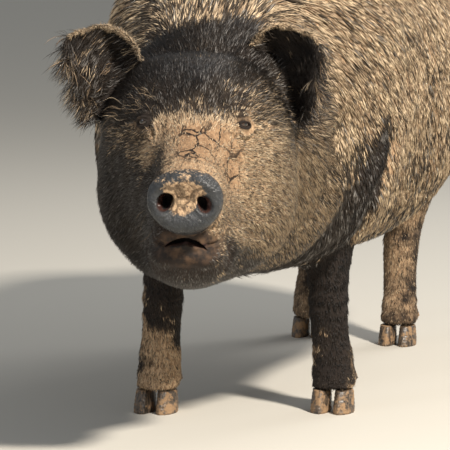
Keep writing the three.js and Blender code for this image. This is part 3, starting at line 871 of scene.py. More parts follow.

# Head: across, ahead, up in millimetres; lie (across, ahead, up); mud on the left, on the right; length
# the right side's low mud is partly cleaner black hair and partly painted shade on that side of the face
headGuides = [
    [(0, 290, 55), (0, -1, 0.2), 0.85, 0.85, 5],           # behind the nose disc
    [(0, 235, 68), (0, -1, 0.35), 1.0, 1.0, 6],            # bridge of the nose
    [(0, 190, 86), (0, -0.8, 0.6), 1.0, 1.0, 8],
    [(40, 178, 84), (0.35, -0.6, 0.5), 0.98, 0.9, 8],
    [(0, 160, 110), (0, -0.5, 0.85), 0.42, 0.42, 10],      # forehead
    [(34, 140, 122), (0.2, -0.4, 0.9), 0.22, 0.12, 12],
    [(0, 112, 144), (0, -0.6, 0.8), 0.05, 0.05, 14],
    [(50, 84, 150), (0.25, -0.7, 0.6), 0.10, 0.05, 15],
    [(0, 30, 168), (0, -1, 0.25), 0.30, 0.22, 20],         # poll
    [(80, 20, 158), (0.3, -0.9, 0.25), 0.02, 0.06, 20],        # front of the ear's root
    [(70, -24, 180), (0.3, -0.9, 0.25), 0.02, 0.06, 22],
    [(64, 132, 116), (0.45, -0.3, 0.8), 0.30, 0.10, 11],   # brow
    [(96, 116, 100), (0.8, -0.5, 0.4), 0.45, 0.10, 14],
    [(120, 80, 90), (0.75, -0.7, 0.1), 0.40, 0.08, 18],
    [(150, 20, 90), (0.5, -0.8, -0.3), 0.25, 0.05, 20],    # below the ear
    [(96, 140, 62), (0.6, -0.6, -0.3), 0.84, 0.45, 10],    # below the eye
    [(78, 170, 44), (0.55, -0.7, -0.4), 0.92, 0.74, 8],
    [(100, 146, 34), (0.4, -0.7, -0.5), 0.86, 0.48, 9],
    [(92, 164, 4), (0.4, -0.75, -0.4), 0.88, 0.12, 8],
    [(114, 123, 50), (0.4, -0.7, -0.4), 0.80, 0.40, 11],
    [(116, 120, 20), (0.35, -0.7, -0.6), 0.80, 0.08, 12],  # cheek
    [(140, 80, -20), (0.2, -0.7, -0.7), 0.62, 0.06, 13],
    [(150, 20, -20), (0.1, -0.35, -0.95), 0.70, 0.06, 18],
    [(128, 100, -80), (0.05, -0.5, -0.8), 0.70, 0.04, 14], # jowl
    [(106, 128, -116), (0, -0.8, -0.5), 0.55, 0.04, 14],
    # below the jowl the mud is taken away as painted shade
    [(96, 128, -144), (0, -0.8, -0.5), 0.08, 0.04, 14],
    [(66, 205, 22), (0.4, -0.85, -0.25), 0.95, 0.10, 7],   # side of the nose
    [(60, 250, 10), (0.3, -0.9, -0.15), 0.85, 0.05, 6],
    [(70, 215, -30), (0.3, -0.8, -0.5), 0.82, 0.03, 8],
    [(56, 262, -40), (0.3, -0.8, -0.5), 0.60, 0.05, 6],    # upper lip
    [(88, 190, -60), (0.2, -0.8, -0.5), 0.60, 0.06, 10],
    [(70, 215, -110), (0.1, -0.9, -0.4), 0.14, 0.05, 12],  # side of the lower jaw
    [(0, 300, -85), (0, -0.3, -0.9), 0.08, 0.08, 8],       # chin
    [(0, 250, -140), (0, -0.8, -0.6), 0.10, 0.10, 14],
    [(0, 150, -172), (0, -1, -0.1), 0.10, 0.06, 16],       # throat
]

# Legs: share of the height from the floor to the body; lie; mud of the left foreleg, the right foreleg and
# the hind legs; length
# the forelegs darken towards the top, partly from clean dark hair and partly as painted shadow of the head
legGuides = [
    (0.0, (0, 0, -1), 0.50, 0.75, 0.45, 6), (0.1, (0, 0.1, -1), 0.45, 0.72, 0.50, 6),
    (0.3, (0, 0.25, -1), 0.36, 0.58, 0.50, 8), (0.5, (0, 0.3, -1), 0.14, 0.38, 0.50, 9),
    (0.75, (0, 0.3, -1), 0.10, 0.24, 0.50, 10), (1.0, (0, 0.3, -1), 0.12, 0.16, 0.54, 12),
]

coatField = {
    "spread": 9, "sharpness": 4, "blur": 8 * mm, "earLie": (0.86, -0.05, -0.5), "earMud": 0.10,
    "earLength": 24, "rimMud": 0.4, "tailLie": (0, 0.1, -1), "tailMud": 0.35, "tailLength": 26,
    "eyeReach": 21, "eyeTurn": 1.8, "eyeShort": 0.55,       # how the eyes turn and shorten it
}


def blendGuides(points, places, values):
    # each place pulls the nearby skin towards its own values
    total = np.zeros((len(points), values.shape[1]))
    weight = np.zeros(len(points))
    for place, value in zip(places, values):
        pull = 1 / (np.linalg.norm(points - place, axis=1) + coatField["blur"]) ** coatField["sharpness"]
        total += pull[:, None] * value
        weight += pull
    return total / weight[:, None]


def bodyField(points):
    places, values = [], []
    for (across, along, up), lie, mud, length in bodyGuides:
        for side in ((1,) if across == 0 else (1, -1)):
            share = 1 if side > 0 else rightMud
            places.append(bodyPlace(side * across, along, up))
            values.append((side * lie[0], lie[1], lie[2], mud * share, length))
    return blendGuides(points, np.array(places), np.array(values, float))


def headField(points):
    places, values = [], []
    for (across, ahead, up), lie, mudLeft, mudRight, length in headGuides:
        for side in ((1,) if across == 0 else (1, -1)):
            way = headTurn @ Vector((side * lie[0], -lie[1], lie[2]))
            places.append(headPlace(side * across, ahead, up))
            values.append((*way, mudLeft if side > 0 else mudRight, length))
    return blendGuides(points, np.array(places), np.array(values, float))


def legField(points, mudColumn):
    heights = np.array([row[0] for row in legGuides]) * trunkLow.z * 1.6
    columns = [[row[1][i] for row in legGuides] for i in range(3)]
    columns += [[row[mudColumn] for row in legGuides], [row[5] for row in legGuides]]
    return np.stack([np.interp(points[:, 2], heights, column) for column in columns], axis=1)


def earField(points):
    local = inHead(points)
    side = np.sign(local[:, 0])
    across, ahead, up = coatField["earLie"]
    way = np.stack([side * across, np.full(len(side), -ahead), np.full(len(side), up)], 1)
    way = way @ np.array(headTurn).T
    share = np.ones((len(points), 1))
    return np.hstack([way, share * coatField["earMud"], share * coatField["earLength"]])


def rimOfEars(edges, normals, inEarPart):
    # near 1 where the ear's two faces meet, told from how far the skin's directions differ nearby
    average = np.stack([spreadOut(normals[:, i].copy(), edges, 10) for i in range(3)], 1)
    return smoothStep(0.88, 0.5, np.linalg.norm(average, axis=1)) * inEarPart


points, normals, edges = readMesh(skin.data)
owners = ownersOf(points)
onHead = isPart(owners, "head", "jaw", "snout")
inEarPart = isPart(owners, "ear_")
field = bodyField(points)           # for each point of the skin: lie (3 columns), mud and length
field[onHead] = headField(points[onHead])
for word, mudColumn in (("foreleg_left", 2), ("foreleg_right", 3), ("hindleg", 4)):
    chosen = isPart(owners, word)
    field[chosen] = legField(points[chosen], mudColumn)
field[inEarPart] = earField(points[inEarPart])
earRim = rimOfEars(edges, normals, inEarPart)
fringeSide = np.zeros(len(points))
for name in ("ear_left", "ear_right"):
    chosen = np.array(owners) == name
    local = inHead(points[chosen])
    outward = np.abs(local[:, 0]) - np.abs(local[:, 0]).mean() - (local[:, 2] - local[:, 2].mean())
    fringeSide[chosen] = outward > 0
field[:, 3] += coatField["rimMud"] * earRim * (1 - fringeSide)
field[isPart(owners, "tail")] = (*coatField["tailLie"], coatField["tailMud"], coatField["tailLength"])
for column in range(5):
    field[:, column] = spreadOut(field[:, column], edges, coatField["spread"])
for middle in eyeMiddle.values():
    away = points - np.array(middle)
    near = np.exp(-(np.linalg.norm(away, axis=1) / (coatField["eyeReach"] * mm)) ** 2)
    field[:, :3] += coatField["eyeTurn"] * near[:, None] * unit(away)
    field[:, 4] *= 1 - coatField["eyeShort"] * near
print("stage: lie and mud of the coat set")


# Markings: mud, crust, bare wet skin and painted shade in mouth and nostrils, read by skin and coat alike

markingShape = {
    "blotches": [(0.5, 0.045, 11), (0.35, 0.017, 12), (0.15, 0.007, 13)],      # share, size in metres, seed
    "bare": (297, -45), "crustWide": 76, "lips": (46, 27, -68),            # millimetres from the head's pivot
    "noseMud": [(33, 15, 0, 22), (24, 22, -4, 6)],         # half width, half height and middle of two smears
    "lidSize": (13, 10), "lidMud": (0.56, 0.3),            # of the left eye and the right one, lower on the right as painted shade on that side
    "glints": [(-44, 2, 9), (-38, -14, 10), (-24, -26, 9), (14, -27, 10), (26, -22, 8), (49, 4, 7),
               (45, -10, 6), (16, 40, 6)],                 # wettest places on the nose: across, up and reach
}

across, ahead, up = inHead(points).T
blotch = sum(share * cellNoise(points, size, seed) for share, size, seed in markingShape["blotches"])
mud = np.clip(field[:, 3] + 0.26 * blotch * (1 - np.abs(2 * field[:, 3] - 1) * 0.5), 0, 1)
mud = np.where(isPart(owners, "foreleg"), smoothStep(0.30, 0.72, field[:, 3] + 0.38 * blotch), mud)

# the nose disc is bare, with mud on its middle and top
discAhead, discLow = markingShape["bare"]
bare = spreadOut(np.where(onHead & (ahead > discAhead) & (up > discLow), 1.0, 0.0), edges, 2)
noseMud = sum(smoothStep(1.3, 0.5, np.hypot((across - x) / wide, (up - z) / high))
              for wide, high, x, z in markingShape["noseMud"])
# more mud towards the top of the disc: partly a dusting of mud, partly painted light on its upper side
noseMud += 0.45 * smoothStep(20, 40, up)
mud = np.where(bare > 0.5, np.clip(0.9 * noseMud + 0.6 * blotch, 0, 1), mud)

# the insides of mouth and nostrils, flesh at their edges and painted shade deeper in, and a painted shade
# line to the mouth's corners
inMouth = mouthOpening(across, up) * (ahead > 262) * onHead
for line in mouthLines:
    inMouth = np.maximum(inMouth, 0.7 * smoothStep(2.6 * mm, 1.2 * mm, distanceTo(points, line)[0]))
onDisc = across - noseShape["aside"] - noseShape["wide"] * across      # before the disc was widened
inNostril = np.maximum(0.35 * smoothStep(1.05, 0.8, nostrilReach(onDisc, up)),
                       smoothStep(1.05, 0.8, nostrilReach(onDisc, up, True)))
hollow = np.clip(inMouth + inNostril * (ahead > 280) * onHead, 0, 1)

# lids, lips and wet places
slit, lids = np.zeros(len(points)), np.zeros(len(points))
for side, middle in eyeMiddle.items():
    out, back, upward = (np.array(axis) for axis in eyeAxes(side))
    offset = (points - np.array(middle)) / mm
    outside = offset @ out > 0
    along, height = offset @ back, offset @ upward + lidShape["drop"]
    lidWide, lidHigh = markingShape["lidSize"]
    lids += smoothStep(1.25, 0.95, np.hypot(along / lidWide, (height - 1) / lidHigh)) * outside
    reach = np.hypot(along / (lidShape["halfLength"] + 1.5), height / lidShape["upper"])
    slit += smoothStep(1.45, 0.95, reach) * outside
lids = np.clip(lids, 0, 1)
lipWide, lipHigh, lipLevel = markingShape["lips"]
lip = smoothStep(1.35, 0.7, np.hypot(across / lipWide, (up - lipLevel) / lipHigh) + 0.28 * blotch)
lip = lip * smoothStep(-34, -42, up) * (ahead > 240) * onHead * (1 - bare)
chinWet = spreadOut(np.where(onHead & (up < -62) & (ahead > 215), 0.8, 0.0), edges, 3)
wet = np.clip(bare + lip + chinWet, 0, 1)
mud = mud + lids * (np.where(across > 0, *markingShape["lidMud"]) + 0.3 * blotch - mud)
mud = mud * (1 - hollow) * (1 - 0.8 * slit)

crust = smoothStep(0.74, 0.95, field[:, 3]) * smoothStep(140, 165, ahead)
crust = spreadOut(crust * (np.abs(across) < markingShape["crustWide"]) * onHead * (1 - bare), edges, 6)
gloss = np.zeros(len(points))
for x, z, reach in markingShape["glints"]:
    gloss += np.exp(-((across - x) ** 2 + (up - z) ** 2) / reach ** 2)
gloss = np.clip(gloss, 0, 1) * bare

markings = {"mud": mud, "bare": bare, "hollow": hollow, "wet": wet, "crust": crust, "lids": lids, "lip": lip,
            "gloss": gloss}
for name, values in markings.items():
    setAttribute(skin.data, name, values)
print("stage: markings set")


# An unwrap of the skin, shared by the coat: each part of the body is rolled out round its own axis

charts = {
    "body": {"solids": ("trunk", "neck"), "corner": (0.01, 0.01), "size": (0.61, 0.57)},
    "head": {"solids": ("head", "lower_jaw", "snout"), "corner": (0.64, 0.01), "size": (0.35, 0.35)},
    "earLeft": {"solids": ("ear_left",), "corner": (0.64, 0.38), "size": (0.17, 0.2)},
    "earRight": {"solids": ("ear_right",), "corner": (0.82, 0.38), "size": (0.17, 0.2)},
}
for i, leg in enumerate(("foreleg_left", "foreleg_right", "hindleg_left", "hindleg_right")):
    charts[leg] = {"solids": (leg + "_upper", leg + "_lower"), "corner": (0.01 + 0.21 * i, 0.6),
                   "size": (0.2, 0.38)}
charts["tail"] = {"solids": ("tail",), "corner": (0.86, 0.6), "size": (0.12, 0.38)}


def chartAxis(name):
    if name == "body":
        return Vector((0, 1, 0)), (trunkLow + trunkHigh) / 2
    if name == "head":
        return headTurn @ Vector((0, -1, 0)), headPlace(0, 90, -8)
    if name.startswith("ear"):
        side = 1 if name == "earLeft" else -1
        low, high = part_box("ear_left" if side > 0 else "ear_right")
        return headTurn @ Vector((side * 0.86, 0, -0.5)).normalized(), (low + high) / 2
    low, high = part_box(charts[name]["solids"][-1])
    return Vector((0, 0, 1)), (low + high) / 2


def rollOut(places, name):
    # turn round the chart's axis, -0.5 to 0.5, and share of the way along it
    axis, centre = chartAxis(name)
    offset = places - np.array(centre)
    along = offset @ np.array(axis)
    first = axis.orthogonal().normalized() if name != "body" else Vector((0, 0, -1))
    second = axis.cross(first)
    turn = np.arctan2(offset @ np.array(second), offset @ np.array(first)) / (2 * math.pi)
    if name == "head":
        aside = np.linalg.norm(offset - np.outer(along, np.array(axis)), axis=1)
        return turn, np.arctan2(aside, -along) / math.pi
    return turn, along


def unwrap(places, owners, around=None):
    # places on the unwrap; 'around' holds each corner's own face middle, so that no face crosses a seam
    spots = np.zeros((len(places), 2))
    for name, chart in charts.items():
        chosen = np.isin(owners, chart["solids"])
        if not chosen.any():
            continue
        turn, along = rollOut(places[chosen], name)
        if around is not None:
            middle, _ = rollOut(around[chosen], name)
            turn = middle + (turn - middle + 0.5) % 1 - 0.5
        if name not in chartSpans:
            chartSpans[name] = (along.min(), along.max())
        low, high = (0, 1) if name == "head" else chartSpans[name]
        share = np.stack([turn + 0.5, (along - low) / (high - low)], 1)
        spots[chosen] = np.array(chart["corner"]) + np.clip(share, -0.01, 1.01) * np.array(chart["size"])
    return spots


chartSpans = {}
owners = np.array(owners)


def unwrapSkin():
    mesh = skin.data
    corners = np.empty(len(mesh.loops), np.int32)
    mesh.loops.foreach_get("vertex_index", corners)
    totals = np.empty(len(mesh.polygons), np.int32)
    mesh.polygons.foreach_get("loop_total", totals)
    middles = np.empty(len(mesh.polygons) * 3, np.float32)
    mesh.polygons.foreach_get("center", middles)
    starts = np.concatenate([[0], np.cumsum(totals)[:-1]])
    faceOwner = owners[corners[starts]]
    middles = np.repeat(middles.reshape(-1, 3), totals, 0)
    spots = unwrap(points[corners], np.repeat(faceOwner, totals), middles)
    layer = mesh.uv_layers.new(name="OFBake")
    layer.data.foreach_set("uv", spots.astype(np.float32).ravel())


unwrapSkin()
print("stage: skin unwrapped")


# Materials

hideLook = {
    # the hide's mud is darker than the coat's: under the coat this is painted shade beneath the locks, on the
    # bare nose the mud's own colour
    "skin": "#171311", "skinPale": "#2A211B", "mudDark": "#7C634B", "mudPale": "#B89C7C",
    "crust": "#96795C", "crustDark": "#6A523D", "crack": "#1A120D", "wet": "#2C1E15",
    "lip": "#1A120D", "lipMud": "#4F3B2A", "bare": "#17181A", "barePale": "#484A4C",
    # flesh at the edges of mouth and nostrils, near black deeper in as painted shade
    "flesh": "#3C2620", "hollow": "#0E0807",
    "dry": 0.92, "moist": 0.24, "glint": 0.22,                      # roughness, and what glints take off
    "crackCell": 30, "crackWidth": 1.5, "crackBend": 18, "mottle": 14, "hairGrain": 1.6, "pore": 1.4,
    "spatter": 5, "bump": 1.2,                                      # millimetres
}

soft = {"interpolation_type": "SMOOTHSTEP"}      # for each Map Range node: a soft step between two values


def pigHide():
    # thick dark hide under dried mud: matt and dusty, with a crust that has cracked on the nose,
    # and bare wet rubbery skin on the nose disc
    look = hideLook
    material, tree = newMaterial("mudDriedPigHide")
    mud, crust, wet, lip, bare, hollow, gloss = (
        addNode(tree, "Attribute", {"attribute_name": name}, "Fac")
        for name in ("mud", "crust", "wet", "lip", "bare", "hollow", "gloss"))
    place = addNode(tree, "TexCoord", {}, "Object")
    mottle = addNode(tree, "TexNoise", {"Vector": place, "Scale": 1000 / look["mottle"], "Detail": 4.0,
                                        "Roughness": 0.6}, "Fac")
    stretched = addNode(tree, "Mapping", {"Vector": place, "Scale": (1.0, 1.0, 0.28)}, "Vector")
    grain = addNode(tree, "TexNoise", {"Vector": stretched, "Scale": 1000 / look["hairGrain"] / 2,
                                       "Detail": 3.0, "Roughness": 0.7}, "Fac")
    spatter = addNode(tree, "TexNoise", {"Vector": place, "Scale": 1000 / look["spatter"], "Detail": 5.0,
                                         "Roughness": 0.65}, "Fac")
    pores = addNode(tree, "TexVoronoi", {"Vector": place, "Scale": 1000 / look["pore"] / 2}, "Distance")

    # cracks: the edges of bent cells, broken off here and there
    cells = 1000 / look["crackCell"]
    width = look["crackWidth"] / look["crackCell"]
    bent = addNode(tree, "TexNoise", {"Vector": place, "Scale": cells * 1.6, "Detail": 3.0}, "Color")
    bent = addNode(tree, "VectorMath", {"operation": "MULTIPLY_ADD", 0: bent, 1: [look["crackBend"] * mm] * 3,
                                        2: place}, "Vector")
    edge = addNode(tree, "TexVoronoi", {"feature": "DISTANCE_TO_EDGE", "Vector": bent,
                                        "Scale": cells}, "Distance")
    line = addNode(tree, "MapRange", {**soft, "Value": edge, "From Min": 0.5 * width, "From Max": 1.4 * width,
                                      "To Min": 1.0, "To Max": 0.0}, "Result")
    broken = addNode(tree, "TexNoise", {"Vector": bent, "Scale": cells * 0.9, "Detail": 1.0}, "Fac")
    broken = addNode(tree, "MapRange", {**soft, "Value": broken, "From Min": 0.27,
                                        "From Max": 0.38}, "Result")
    line = addNode(tree, "Math", {"operation": "MULTIPLY", 0: line, 1: broken}, "Value")
    cracked = addNode(tree, "Math", {"operation": "MULTIPLY", 0: crust, 1: line}, "Value")

    # hide and the dried mud on it
    hide = addNode(tree, "MixRGB", {"Fac": mottle, "Color1": look["skin"],
                                    "Color2": look["skinPale"]}, "Color")
    streak = addNode(tree, "MapRange", {**soft, "Value": grain, "From Min": 0.35, "From Max": 0.65}, "Result")
    earth = addNode(tree, "MixRGB", {"Fac": streak, "Color1": look["mudDark"],
                                     "Color2": look["mudPale"]}, "Color")
    muddy = addNode(tree, "Math", {"operation": "MULTIPLY_ADD", 0: mottle, 1: 0.5, 2: mud}, "Value")
    muddy = addNode(tree, "MapRange", {**soft, "Value": muddy, "From Min": 0.55, "From Max": 0.95}, "Result")
    thick = addNode(tree, "Math", {"operation": "ADD", 0: mottle, 1: grain}, "Value")
    thick = addNode(tree, "MapRange", {**soft, "Value": thick, "From Min": 0.75, "From Max": 1.2}, "Result")
    cake = addNode(tree, "MixRGB", {"Fac": thick, "Color1": look["crustDark"],
                                    "Color2": look["crust"]}, "Color")
    damp = addNode(tree, "Math", {"operation": "MULTIPLY", 0: wet, 1: 0.6}, "Value")
    smear = addNode(tree, "MapRange", {**soft, "Value": mottle, "From Min": 0.36, "From Max": 0.66}, "Result")
    lips = addNode(tree, "MixRGB", {"Fac": smear, "Color1": look["lip"], "Color2": look["lipMud"]}, "Color")

    # the bare nose disc, with mud dried on it
    gristle = addNode(tree, "MixRGB", {"Fac": mottle, "Color1": look["bare"],
                                       "Color2": look["barePale"]}, "Color")
    smeared = addNode(tree, "Math", {"operation": "ADD", 0: mud, 1: spatter}, "Value")
    smeared = addNode(tree, "MapRange", {**soft, "Value": smeared, "From Min": 0.92,
                                         "From Max": 1.16}, "Result")
    fleck = addNode(tree, "MapRange", {**soft, "Value": spatter, "From Min": 0.34, "From Max": 0.6}, "Result")
    noseMud = addNode(tree, "MixRGB", {"Fac": fleck, "Color1": look["mudDark"],
                                       "Color2": look["mudPale"]}, "Color")
    faint = addNode(tree, "Math", {"operation": "MULTIPLY", 0: line, 1: 0.6}, "Value")
    noseMud = addNode(tree, "MixRGB", {"Fac": faint, "Color1": noseMud, "Color2": look["crack"]}, "Color")
    nose = addNode(tree, "MixRGB", {"Fac": smeared, "Color1": gristle, "Color2": noseMud}, "Color")

    # mouth and nostrils: flesh colour at their edges, near black deeper in as painted shade
    shallow = addNode(tree, "MapRange", {**soft, "Value": hollow, "From Min": 0.05,
                                         "From Max": 0.4}, "Result")
    deep = addNode(tree, "MapRange", {**soft, "Value": hollow, "From Min": 0.4, "From Max": 0.8}, "Result")
    colour = hide
    for share, layer in ((muddy, earth), (crust, cake), (cracked, look["crack"]), (damp, look["wet"]),
                         (lip, lips), (bare, nose), (shallow, look["flesh"]), (deep, look["hollow"])):
        colour = addNode(tree, "MixRGB", {"Fac": share, "Color1": colour, "Color2": layer}, "Color")

    # wet where it is bare and clean, and a little round the mouth
    clean = addNode(tree, "MapRange", {**soft, "Value": smeared, "From Max": 0.7, "To Min": 1.0,
                                       "To Max": 0.0}, "Result")
    shine = addNode(tree, "Math", {"operation": "MULTIPLY", 0: bare, 1: clean}, "Value")
    damp = addNode(tree, "Math", {"operation": "MULTIPLY", 0: wet, 1: 0.35}, "Value")
    shine = addNode(tree, "Math", {"operation": "MAXIMUM", 0: shine, 1: damp}, "Value")
    rim = addNode(tree, "MapRange", {**soft, "Value": hollow, "From Min": 0.4, "From Max": 0.8, "To Min": 1.0,
                                     "To Max": 0.2}, "Result")
    shine = addNode(tree, "Math", {"operation": "MULTIPLY", 0: shine, 1: rim}, "Value")
    roughness = addNode(tree, "MapRange", {**soft, "Value": shine, "To Min": look["dry"],
                                           "To Max": look["moist"]}, "Result")
    roughness = addNode(tree, "Math", {"operation": "MULTIPLY_ADD", 0: gloss, 1: -look["glint"],
                                       2: roughness}, "Value")

    height = addNode(tree, "Math", {"operation": "MULTIPLY", 0: grain, 1: 0.5}, "Value")
    for texture, where, share in ((mottle, 1.0, 0.6), (cracked, 1.0, -1.4), (pores, bare, 0.6),
                                  (spatter, bare, 1.6), (spatter, gloss, 4.5)):
        part = addNode(tree, "Math", {"operation": "MULTIPLY", 0: texture, 1: where}, "Value")
        height = addNode(tree, "Math", {"operation": "MULTIPLY_ADD", 0: part, 1: share, 2: height}, "Value")
    bump = addNode(tree, "Bump", {"Strength": 0.7, "Distance": look["bump"] * mm, "Height": height}, "Normal")
    shader = addNode(tree, "BsdfPrincipled", {"IOR": 1.45, "Specular IOR Level": 0.4, "Base Color": colour,
                                              "Roughness": roughness, "Normal": bump}, "BSDF")
    addNode(tree, "OutputMaterial", {"Surface": shader})
    return material


coatLook = {
    "black": "#0F0D0C", "brown": "#261D17", "bleached": "#85827F", "mudDark": "#8E755C", "mudPale": "#EED6B3",
    "root": 0.22,
}


def bristle():
    # stiff black bristle: a soft sheen where it is clean, matt and tan where mud has dried on it
    look = coatLook
    material, tree = newMaterial("mudDriedBristle")
    tone, along, mud = (addNode(tree, "Attribute", {"attribute_name": name}, "Fac")
                        for name in ("tone", "along", "mud"))
    brown = addNode(tree, "MapRange", {**soft, "Value": tone, "From Min": 0.1, "From Max": 0.6}, "Result")
    # pale grey on some locks: partly faded bristle, partly painted sheen of light on the hair
    fadedAndSheen = addNode(tree, "MapRange", {**soft, "Value": tone, "From Min": 0.68, "From Max": 0.95}, "Result")
    earth = addNode(tree, "MixRGB", {"Fac": tone, "Color1": look["mudDark"],
                                     "Color2": look["mudPale"]}, "Color")
    # each lock darkens towards its root: painted shade between the locks
    shade = addNode(tree, "MapRange", {**soft, "Value": along, "From Max": 0.6,
                                       "To Min": look["root"]}, "Result")
    colour = look["black"]
    for share, layer in ((brown, look["brown"]), (fadedAndSheen, look["bleached"]), (mud, earth)):
        colour = addNode(tree, "MixRGB", {"Fac": share, "Color1": colour, "Color2": layer}, "Color")
    colour = addNode(tree, "MixRGB", {"blend_type": "MULTIPLY", "Fac": 1.0, "Color1": colour,
                                      "Color2": shade}, "Color")
    roughness = addNode(tree, "MapRange", {**soft, "Value": mud, "To Min": 0.5, "To Max": 0.95}, "Result")
    shader = addNode(tree, "BsdfPrincipled", {"IOR": 1.55, "Specular IOR Level": 0.3, "Base Color": colour,
                                              "Roughness": roughness}, "BSDF")
    addNode(tree, "OutputMaterial", {"Surface": shader})
    return material


skin.data.materials.append(pigHide())
bristleMaterial = bristle()
for polygon in skin.data.polygons:
    polygon.use_smooth = True
print("stage: hide and bristle materials")


# Eyes

eyeLook = {
    "radius": 12.5, "cornea": 1.0, "corneaEdge": 34, "iris": 34, "pupil": 13,      # millimetres, then degrees
    "white": "#3A2A21", "whiteEdge": "#1A100C", "irisInner": "#4A3220", "irisOuter": "#150C08",
    "black": "#050404", "around": 56, "rows": 39,
}


def eyeMaterial():
    # wet brown eye: a fibrous iris round a black pupil, under a clear glossy cornea
    look = eyeLook
    material, tree = newMaterial("wetBrownEye")
    away, turn = (addNode(tree, "Attribute", {"attribute_name": name}, "Fac") for name in ("away", "turn"))
    fibre = addNode(tree, "CombineXYZ", {"X": away, "Y": turn}, "Vector")
    fibre = addNode(tree, "Mapping", {"Vector": fibre, "Scale": (0.06, 2.4, 1.0)}, "Vector")
    fibre = addNode(tree, "TexNoise", {"Vector": fibre, "Scale": 1.0, "Detail": 2.0}, "Fac")
    fibre = addNode(tree, "MapRange", {**soft, "Value": fibre, "From Min": 0.35, "From Max": 0.65}, "Result")
    pupil, iris, rim, white = (
        addNode(tree, "MapRange", {**soft, "Value": away, "From Min": low, "From Max": high}, "Result")
        for low, high in ((look["pupil"], look["pupil"] - 2.5), (look["iris"] - 1, look["iris"] + 2),
                          (look["iris"] - 6, look["iris"]), (look["iris"], look["iris"] + 25)))
    colour = addNode(tree, "MixRGB", {"Fac": fibre, "Color1": look["irisInner"],
                                      "Color2": look["irisOuter"]}, "Color")
    outer = addNode(tree, "MixRGB", {"Fac": white, "Color1": look["white"],
                                     "Color2": look["whiteEdge"]}, "Color")
    for share, layer in ((rim, look["irisOuter"]), (iris, outer), (pupil, look["black"])):
        colour = addNode(tree, "MixRGB", {"Fac": share, "Color1": colour, "Color2": layer}, "Color")
    shader = addNode(tree, "BsdfPrincipled", {"IOR": 1.38, "Roughness": 0.12, "Coat Weight": 1.0,
                                              "Coat Roughness": 0.03, "Base Color": colour}, "BSDF")
    addNode(tree, "OutputMaterial", {"Surface": shader})
    return material


def ballFaces(around, rows):
    # triangles between the rows of a ball's points, then round its two poles
    faces = []
    pole = around * rows
    for i in range(around):
        right = (i + 1) % around
        faces += [(pole, i, right), (pole - around + i, pole + 1, pole - around + right)]
        for row in range(rows - 1):
            a, b = row * around + i, row * around + right
            faces += [(a, a + around, b + around), (a, b + around, b)]
    return faces


def makeEye(side, material):
    around, rows = eyeLook["around"], eyeLook["rows"]
    tilt = np.repeat(np.arange(1, rows + 1) / (rows + 1) * math.pi, around)
    turn = np.tile(np.arange(around) / around * 2 * math.pi, rows)
    places = np.stack([np.sin(tilt) * np.cos(turn), np.sin(tilt) * np.sin(turn), np.cos(tilt)], 1)
    places = np.vstack([places, [0, 0, 1], [0, 0, -1]])
    angle = np.degrees(np.arccos(np.clip(places[:, 2], -1, 1)))
    places *= eyeLook["radius"] * mm
    places[:, 2] += eyeLook["cornea"] * mm * np.maximum(0, 1 - (angle / eyeLook["corneaEdge"]) ** 2)
    eye = meshObject("eyeball" + side.capitalize(), places, ballFaces(around, rows))
    mesh = eye.data
    setAttribute(mesh, "away", np.degrees(np.arctan2(np.hypot(places[:, 0], places[:, 1]), places[:, 2])))
    setAttribute(mesh, "turn", np.degrees(np.arctan2(places[:, 1], places[:, 0])))
    mesh.transform(eyeAxes(side)[0].to_track_quat("Z", "Y").to_matrix().to_4x4())
    mesh.transform(Matrix.Translation(eyeMiddle[side]))
    mesh.materials.append(material)
    mesh.shade_smooth()
    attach(eye, "root")
    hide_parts("eye_" + side)


wetEye = eyeMaterial()
for side in ("left", "right"):
    makeEye(side, wetEye)
print("stage: eyes")


# Hooves

hornLook = {
    "dark": "#2B2622", "pale": "#6A5A4A", "mud": "#9A7C5C",
    "ridge": 3.2, "mottle": 16, "bump": 0.6, "grain": 1.8, "ripple": 0.35, "rippleLength": 6,   # millimetres
    "streaksPerMetre": 420,
}


def hornMaterial():
    # grey-brown horn, worn and slightly glossy, with growth rings and patches of dried mud
    look = hornLook
    material, tree = newMaterial("wornHoofHorn")
    place = addNode(tree, "TexCoord", {}, "Object")
    rings = addNode(tree, "TexWave", {"wave_type": "BANDS", "bands_direction": "Z", "Vector": place,
                                      "Scale": 1000 / look["ridge"] / 6.28, "Distortion": 3.0,
                                      "Detail": 2.0}, "Fac")
    muddy = addNode(tree, "TexNoise", {"Vector": place, "Scale": 1000 / look["mottle"], "Detail": 5.0,
                                       "Roughness": 0.65}, "Fac")
    muddy = addNode(tree, "MapRange", {**soft, "Value": muddy, "From Min": 0.46, "From Max": 0.58}, "Result")
    stretched = addNode(tree, "Mapping", {"Vector": place, "Scale": (1.0, 1.0, 0.15)}, "Vector")
    streaks = addNode(tree, "TexNoise", {"Vector": stretched, "Scale": look["streaksPerMetre"],
                                         "Detail": 2.0}, "Fac")
    worn = addNode(tree, "MapRange", {**soft, "Value": streaks, "From Min": 0.35, "From Max": 0.7}, "Result")
    colour = addNode(tree, "MixRGB", {"Fac": worn, "Color1": look["dark"], "Color2": look["pale"]}, "Color")
    share = addNode(tree, "Math", {"operation": "MULTIPLY", 0: muddy, 1: 0.85}, "Value")
    colour = addNode(tree, "MixRGB", {"Fac": share, "Color1": colour, "Color2": look["mud"]}, "Color")
    height = rings
    for texture in (streaks, muddy):
        height = addNode(tree, "Math", {"operation": "MULTIPLY_ADD", 0: texture, 1: 0.8, 2: height}, "Value")
    bump = addNode(tree, "Bump", {"Strength": 0.5, "Distance": look["bump"] * mm, "Height": height}, "Normal")
    roughness = addNode(tree, "MapRange", {**soft, "Value": muddy, "To Min": 0.42, "To Max": 0.9}, "Result")
    shader = addNode(tree, "BsdfPrincipled", {"IOR": 1.54, "Base Color": colour, "Roughness": roughness,
                                              "Normal": bump}, "BSDF")
    addNode(tree, "OutputMaterial", {"Surface": shader})
    return material


